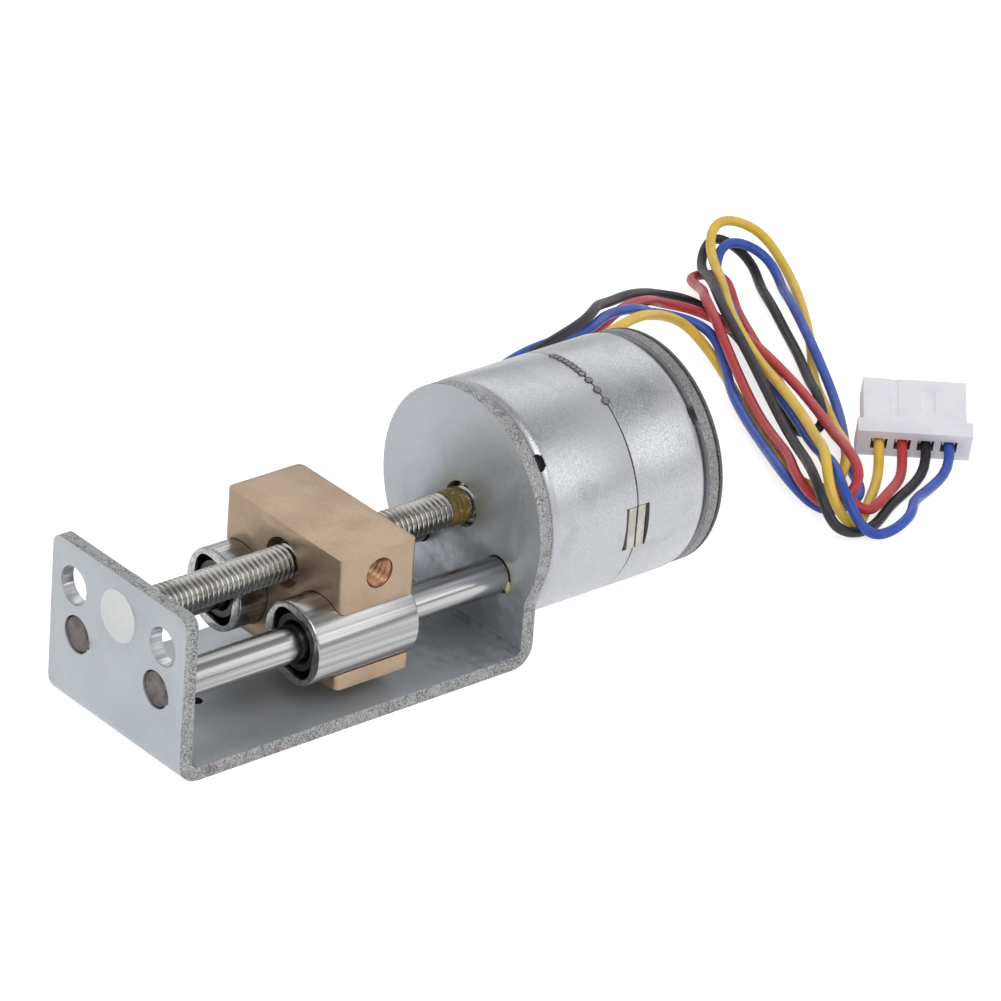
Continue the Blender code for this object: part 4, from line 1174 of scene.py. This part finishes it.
# %% Draw the two cans
CAN_R = 10.0
CAN_WALL = 0.6
CAN_INSIDE = CAN_R - CAN_WALL
END_WALL = 0.7
BUSH_HOLE_R = 3.05
WINDOW = ((8.0, 25.5, 8.55), (12.0, 27.9, 12.45))
TERMINAL_GAP = ((-12.0, 23.8, 4.9), (-7.5, 29.6, 12.2))
DENT = Vector((0.55, 0.42, 0.75))
DENT_ANGLE = 42


def opening(box, low_y, high_y):
    (x1, y1, z1), (x2, y2, z2) = box
    return boxed((x1, max(low_y, y1), z1), (x2, min(high_y, y2), z2))


def dent_frame(y):
    """A place on the rim where X points outwards from the axis."""
    turn = Matrix.Rotation(math.radians(-DENT_ANGLE), 4, "Y")
    out = Matrix.Translation((CAN_R - 0.25, 0, 0))
    return Matrix.Translation((0, y, SCREW_Z)) @ turn @ out


def make_can(word, way, rounding):
    low, high = node_box(word + "_can")
    end_y, seam_y = (low.y, high.y) if way > 0 else (high.y, low.y)
    wall_y = end_y + way * END_WALL
    profile = [
        (end_y, BUSH_HOLE_R),
        (end_y, CAN_R),
        (seam_y, CAN_R),
        (seam_y, CAN_INSIDE),
        (wall_y, CAN_INSIDE),
        (wall_y, BUSH_HOLE_R),
    ]
    can = turned(profile, AXIS, 128)
    round_ring(can, AXIS, end_y, CAN_R, rounding, 6)
    round_ring(can, AXIS, seam_y, CAN_R, 0.09, 2)
    pressed = dent_frame(end_y + way * 0.25)
    tool = ball(1.0, DENT, 4)
    bmesh.ops.transform(tool, matrix=pressed, verts=tool.verts)
    openings = [opening(box, low.y - 1, high.y + 1) for box in (WINDOW, TERMINAL_GAP)]
    can = cut_from(can, [*openings, tool])
    back = pressed.inverted()

    def in_dent(face):
        middle = back @ face.calc_center_median()
        return Vector(part / size for part, size in zip(middle, DENT)).length < 1.02

    # Painted shade: the faces inside the dent take the dark recess finish.
    sort_faces(can, in_dent)
    add_piece(word + "_can_drawn", can, "base", [TIN, RECESS_SHADE], [word + "_can"], smooth=35.0)


make_can("front", 1, 0.9)
make_can("rear", -1, 1.1)

# %% [markdown]
# The rear cover is a thick pressed disc. A fine groove runs round its rim, and the rim is
# darker behind the groove.

# %% Press the rear cover
low, high = node_box("rear_cover")
COVER_R = CAN_R - 0.12
COVER_T = 0.5
GROOVE_Y = low.y + 0.95
GROOVE_R = COVER_R - 0.12


def cover_side(face):
    middle = face.calc_center_median()
    outside = from_axis(middle, AXIS) > COVER_R - 0.4
    if outside and (abs(face.normal.y) < 0.5 or middle.y < high.y - 0.35):
        return 2 if middle.y > GROOVE_Y else 1
    return 0


profile = [
    (low.y, BUSH_HOLE_R),
    (low.y, COVER_R),
    (GROOVE_Y, COVER_R),
    (GROOVE_Y + 0.05, GROOVE_R),
    (GROOVE_Y + 0.17, GROOVE_R),
    (GROOVE_Y + 0.22, COVER_R),
    (high.y, COVER_R),
    (high.y, 0.0),
    (high.y - COVER_T, 0.0),
    (high.y - COVER_T, BUSH_HOLE_R),
]
cover = turned(profile, AXIS, 128)
round_ring(cover, AXIS, high.y, COVER_R, 0.3, 4)
round_ring(cover, AXIS, low.y, COVER_R, 0.1, 2)
sort_faces(cover, cover_side)
add_piece("rear_cover_pressed", cover, "base", [TIN, COVER_EDGE, COVER_RIM], ["rear_cover"])

# %% [markdown]
# The cans are joined by small spot welds on the seam. Each is a shallow grey disc, with
# a dark ring of scale round it. Near the top they run into one another.

# %% Weld the seam
SEAM_Y = 26.7
WELD_R, WELD_T = 0.36, 0.14
WELD_ANGLES = (100, 97, 94, 91, 88, 85, 82, 79, 73.9, 67.1, 60.2)


def weld_spot(angle):
    bm = bmesh.new()
    bmesh.ops.create_cone(
        bm, cap_ends=True, segments=28, radius1=WELD_R, radius2=WELD_R, depth=WELD_T
    )
    bevel(bm, [e for e in bm.edges if e.calc_face_angle() > 1], 0.06, 3)
    caps = [f for f in bm.faces if f.normal.z > 0.99]
    bmesh.ops.inset_region(bm, faces=caps, thickness=0.04, depth=-0.02)
    sort_faces(bm, lambda face: face.calc_center_median().length < 0.25)
    tip = Matrix.Rotation(math.radians(90 - angle), 4, "Y")
    place = Matrix.Translation((0, SEAM_Y, SCREW_Z)) @ tip @ Matrix.Translation((0, 0, CAN_R))
    bmesh.ops.transform(bm, matrix=place, verts=bm.verts)
    return bm


welds = bmesh.new()
for angle in WELD_ANGLES:
    join(welds, weld_spot(angle))
add_piece("seam_welds", welds, "base", [WELD_SCALE, COVER_EDGE])

# %% [markdown]
# The connector is a moulded shell with a lip on the wire side and four square entries.
# A groove and a latch window lie on its upper side. It is drawn square to the axes, and
# the connector's own matrix then lays it on the table.

# %% Mould the connector
ENTRY_HALF = 0.7
WINDOW_DEPTH, GROOVE_DEPTH = 0.25, 0.12
BASE_X = (LIP_W - HOUSING_W) / 2
BASE_Z = (LIP_T - HOUSING_T) / 2
TOP_Z = BASE_Z + HOUSING_T


def in_connector(bm):
    bmesh.ops.transform(bm, matrix=connector_frame, verts=bm.verts)
    return bm


def box_in_entry(number, half, start, end, below, above):
    """A box along the middle of an entry."""
    middle = entry_place(number, 0)
    near = (middle.x - half, start, middle.z - below)
    return boxed(near, (middle.x + half, end, middle.z + above))


def shell_side(face):
    middle = face.calc_center_median()
    in_row = min(abs(middle.x - entry_place(number, 0).x) for number in range(4)) < 0.72
    in_height = abs(middle.z - LIP_T / 2) < 0.72
    return in_row and in_height and 0.12 < middle.y < HOUSING_L - 0.12
# Partly painted shade: the faces inside the entries take the dark entry finish.


shell = boxed((BASE_X, 0.4, BASE_Z), (BASE_X + HOUSING_W, HOUSING_L, TOP_Z))
shell = cut_from(shell, [boxed((0, 0, 0), (LIP_W, LIP_L, LIP_T))], "UNION")
through = (-1, HOUSING_L + 1, ENTRY_HALF, ENTRY_HALF)
cuts = [box_in_entry(number, ENTRY_HALF, *through) for number in range(4)]
cuts.append(boxed((5.6, 2.6, TOP_Z - WINDOW_DEPTH), (6.7, 4.9, TOP_Z + 1)))
cuts.append(boxed((2.9, 2.0, TOP_Z - GROOVE_DEPTH), (3.5, HOUSING_L + 1, TOP_Z + 1)))
shell = cut_from(shell, cuts)
ease_edges(shell, 0.1)
sort_faces(shell, shell_side)
housing = add_piece(
    "connector_shell",
    in_connector(shell),
    "base",
    [LILAC, ENTRY],
    ["connector_housing"],
    smooth=35.0,
)

# %% [markdown]
# Each wire ends in a crimped contact: a square body that holds the pin of the other
# half, and wings folded over the wire.

# %% Crimp a contact on each wire
for number in range(4):
    body = box_in_entry(number, 0.5, 2.2, HOUSING_L - 0.6, 0.5, 0.5)
    wings = box_in_entry(number, 0.58, 0.35, 2.3, 0.2, 0.62)
    crimp = cut_from(body, [wings], "UNION")
    ease_edges(crimp, 0.06)
    name = f"contact_{number + 1}"
    in_connector(crimp)
    add_piece(name + "_crimp", crimp, "base", [CONTACT], [name], smooth=35.0)

# %% [markdown]
# The pieces that stay hidden in the motor keep their CAD shape and take a finish. So do
# the terminals on the far side.

# %% Dress the CAD nodes that stay
KEPT_NODES = [
    (YOKE, ["front_outer_yoke", "front_inner_yoke", "rear_outer_yoke", "rear_inner_yoke"]),
    (COPPER, ["front_coil", "rear_coil"]),
    (RESIN, ["front_bobbin", "rear_bobbin", "rotor_hub"]),
    (BRONZE, ["front_bush", "rear_bush"]),
    (STEEL, ["thrust_collar", "thrust_washer", "preload_washer"]),
    (MAGNET, ["rotor_magnet"]),
    (CONTACT, [f"terminal_pin_{number + 1}" for number in range(4)]),
]
for material, nodes in KEPT_NODES:
    for node in nodes:
        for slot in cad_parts[node].material_slots:
            slot.material = material
    print(material.name, "on", nodes)

# %% [markdown]
# The block round the terminals is moulded resin. A copy of its CAD solid only needs soft
# edges.

# %% Ease the terminal block
block = copy_of("terminal_block")
ease_edges(block, 0.12)
add_piece("terminal_block_moulded", block, "base", [RESIN], ["terminal_block"], smooth=35.0)

# %% [markdown]
# The wires bend in use. Each takes its jacket finish and rides on the base, and its CAD
# wire is hidden.

for number, (colour, (wire, exit_place, length)) in enumerate(wires.items()):
    wire.data.materials.append(JACKETS[colour])
    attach(wire, "base")
    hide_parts("wire_" + colour)
    print(wire.name, "is a cord")

# %% [markdown]
# The photograph has a plain white ground. The floor shows white to the camera and to
# reflections, and keeps a soft shadow. More light could whiten it too, but would bleach
# the pale pieces.

# %% Lay the floor
FLOOR_GLOW = 0.72


def seen_directly(tree):
    """1 for the camera and for reflections, and 0 for the light on the pieces."""
    rays = add_node(tree, "LightPath").outputs
    return calculate(tree, "MAXIMUM", rays["Is Camera Ray"], rays["Is Glossy Ray"])


def make_floor():
    bm = bmesh.new()
    bmesh.ops.create_grid(bm, x_segments=1, y_segments=1, size=3.0)
    mesh = bpy.data.meshes.new("floor")
    bm.to_mesh(mesh)
    bm.free()
    floor = bpy.data.objects.new("floor", mesh)
    floor.location.z = -0.02 * MM
    bpy.context.collection.objects.link(floor)
    material = bpy.data.materials.new("white_ground")
    material.use_nodes = True
    shader = shader_inputs(material)
    shader["Base Color"].default_value = (0.8, 0.8, 0.8, 1)
    shader["Roughness"].default_value = 1.0
    shader["Specular IOR Level"].default_value = 0.0
    shader["Emission Color"].default_value = (1, 1, 1, 1)
    tree = material.node_tree
    glow = calculate(tree, "MULTIPLY", seen_directly(tree), FLOOR_GLOW)
    tree.links.new(glow, shader["Emission Strength"])
    mesh.materials.append(material)
    print("floor at", round(floor.location.z / MM, 3), "mm")


make_floor()

# %% [markdown]
# The lamps are large squares, because a large lamp gives soft shadows. Each is aimed at
# the middle of the object.

# %% Hang the lamps
AIM = Vector((0, 0.02, 0.01))


def hang_lamp(name, place, size, power):
    lamp = bpy.data.lights.new(name, "AREA")
    lamp.size = size
    lamp.energy = power
    made = bpy.data.objects.new(name, lamp)
    bpy.context.collection.objects.link(made)
    place = Vector(place)
    turn = (AIM - place).to_track_quat("-Z", "Y")
    made.matrix_world = Matrix.LocRotScale(place, turn, None)
    print(name, "lamp", power, "W")


hang_lamp("key", (0.30, -0.22, 0.45), 0.35, 1.2)
hang_lamp("right", (0.45, 0.30, 0.30), 0.4, 0.5)
hang_lamp("back", (-0.3, 0.3, 0.5), 0.5, 0.6)

# %% [markdown]
# The room round the object is white at eye level, dims overhead and has a dim line where
# the table ends, so that bright metal has something to show. It shows at full strength
# to the camera and in reflections, and lights the pieces more weakly.

# %% Paint the room
ROOM_LIGHT = 0.55
HEIGHTS = [(0.0, 1.0), (0.02, 0.2), (0.1, 0.22), (0.17, 1.0), (0.55, 1.0), (0.8, 0.45), (1.0, 0.35)]

world = bpy.context.scene.world or bpy.data.worlds.new("world")
bpy.context.scene.world = world
world.use_nodes = True
tree = world.node_tree
sky = tree.nodes["Background"].inputs
limits = {"Value": seen_directly(tree), "To Min": ROOM_LIGHT, "To Max": 1.0}
strength = add_node(tree, "MapRange", limits)
tree.links.new(strength.outputs["Result"], sky["Strength"])
way = add_node(tree, "TexCoord").outputs["Generated"]
height = add_node(tree, "SeparateXYZ", {"Vector": way}).outputs["Z"]
shade = add_node(tree, "ValToRGB", {"Fac": height})
tree.links.new(shade.outputs["Color"], sky["Color"])
while len(shade.color_ramp.elements) < len(HEIGHTS):
    shade.color_ramp.elements.new(0.5)
for stop, (place, grey) in zip(shade.color_ramp.elements, HEIGHTS):
    stop.position = place
    stop.color = (grey, grey, grey, 1)
bpy.context.scene.view_settings.view_transform = "Standard"
print("room shades", len(HEIGHTS))
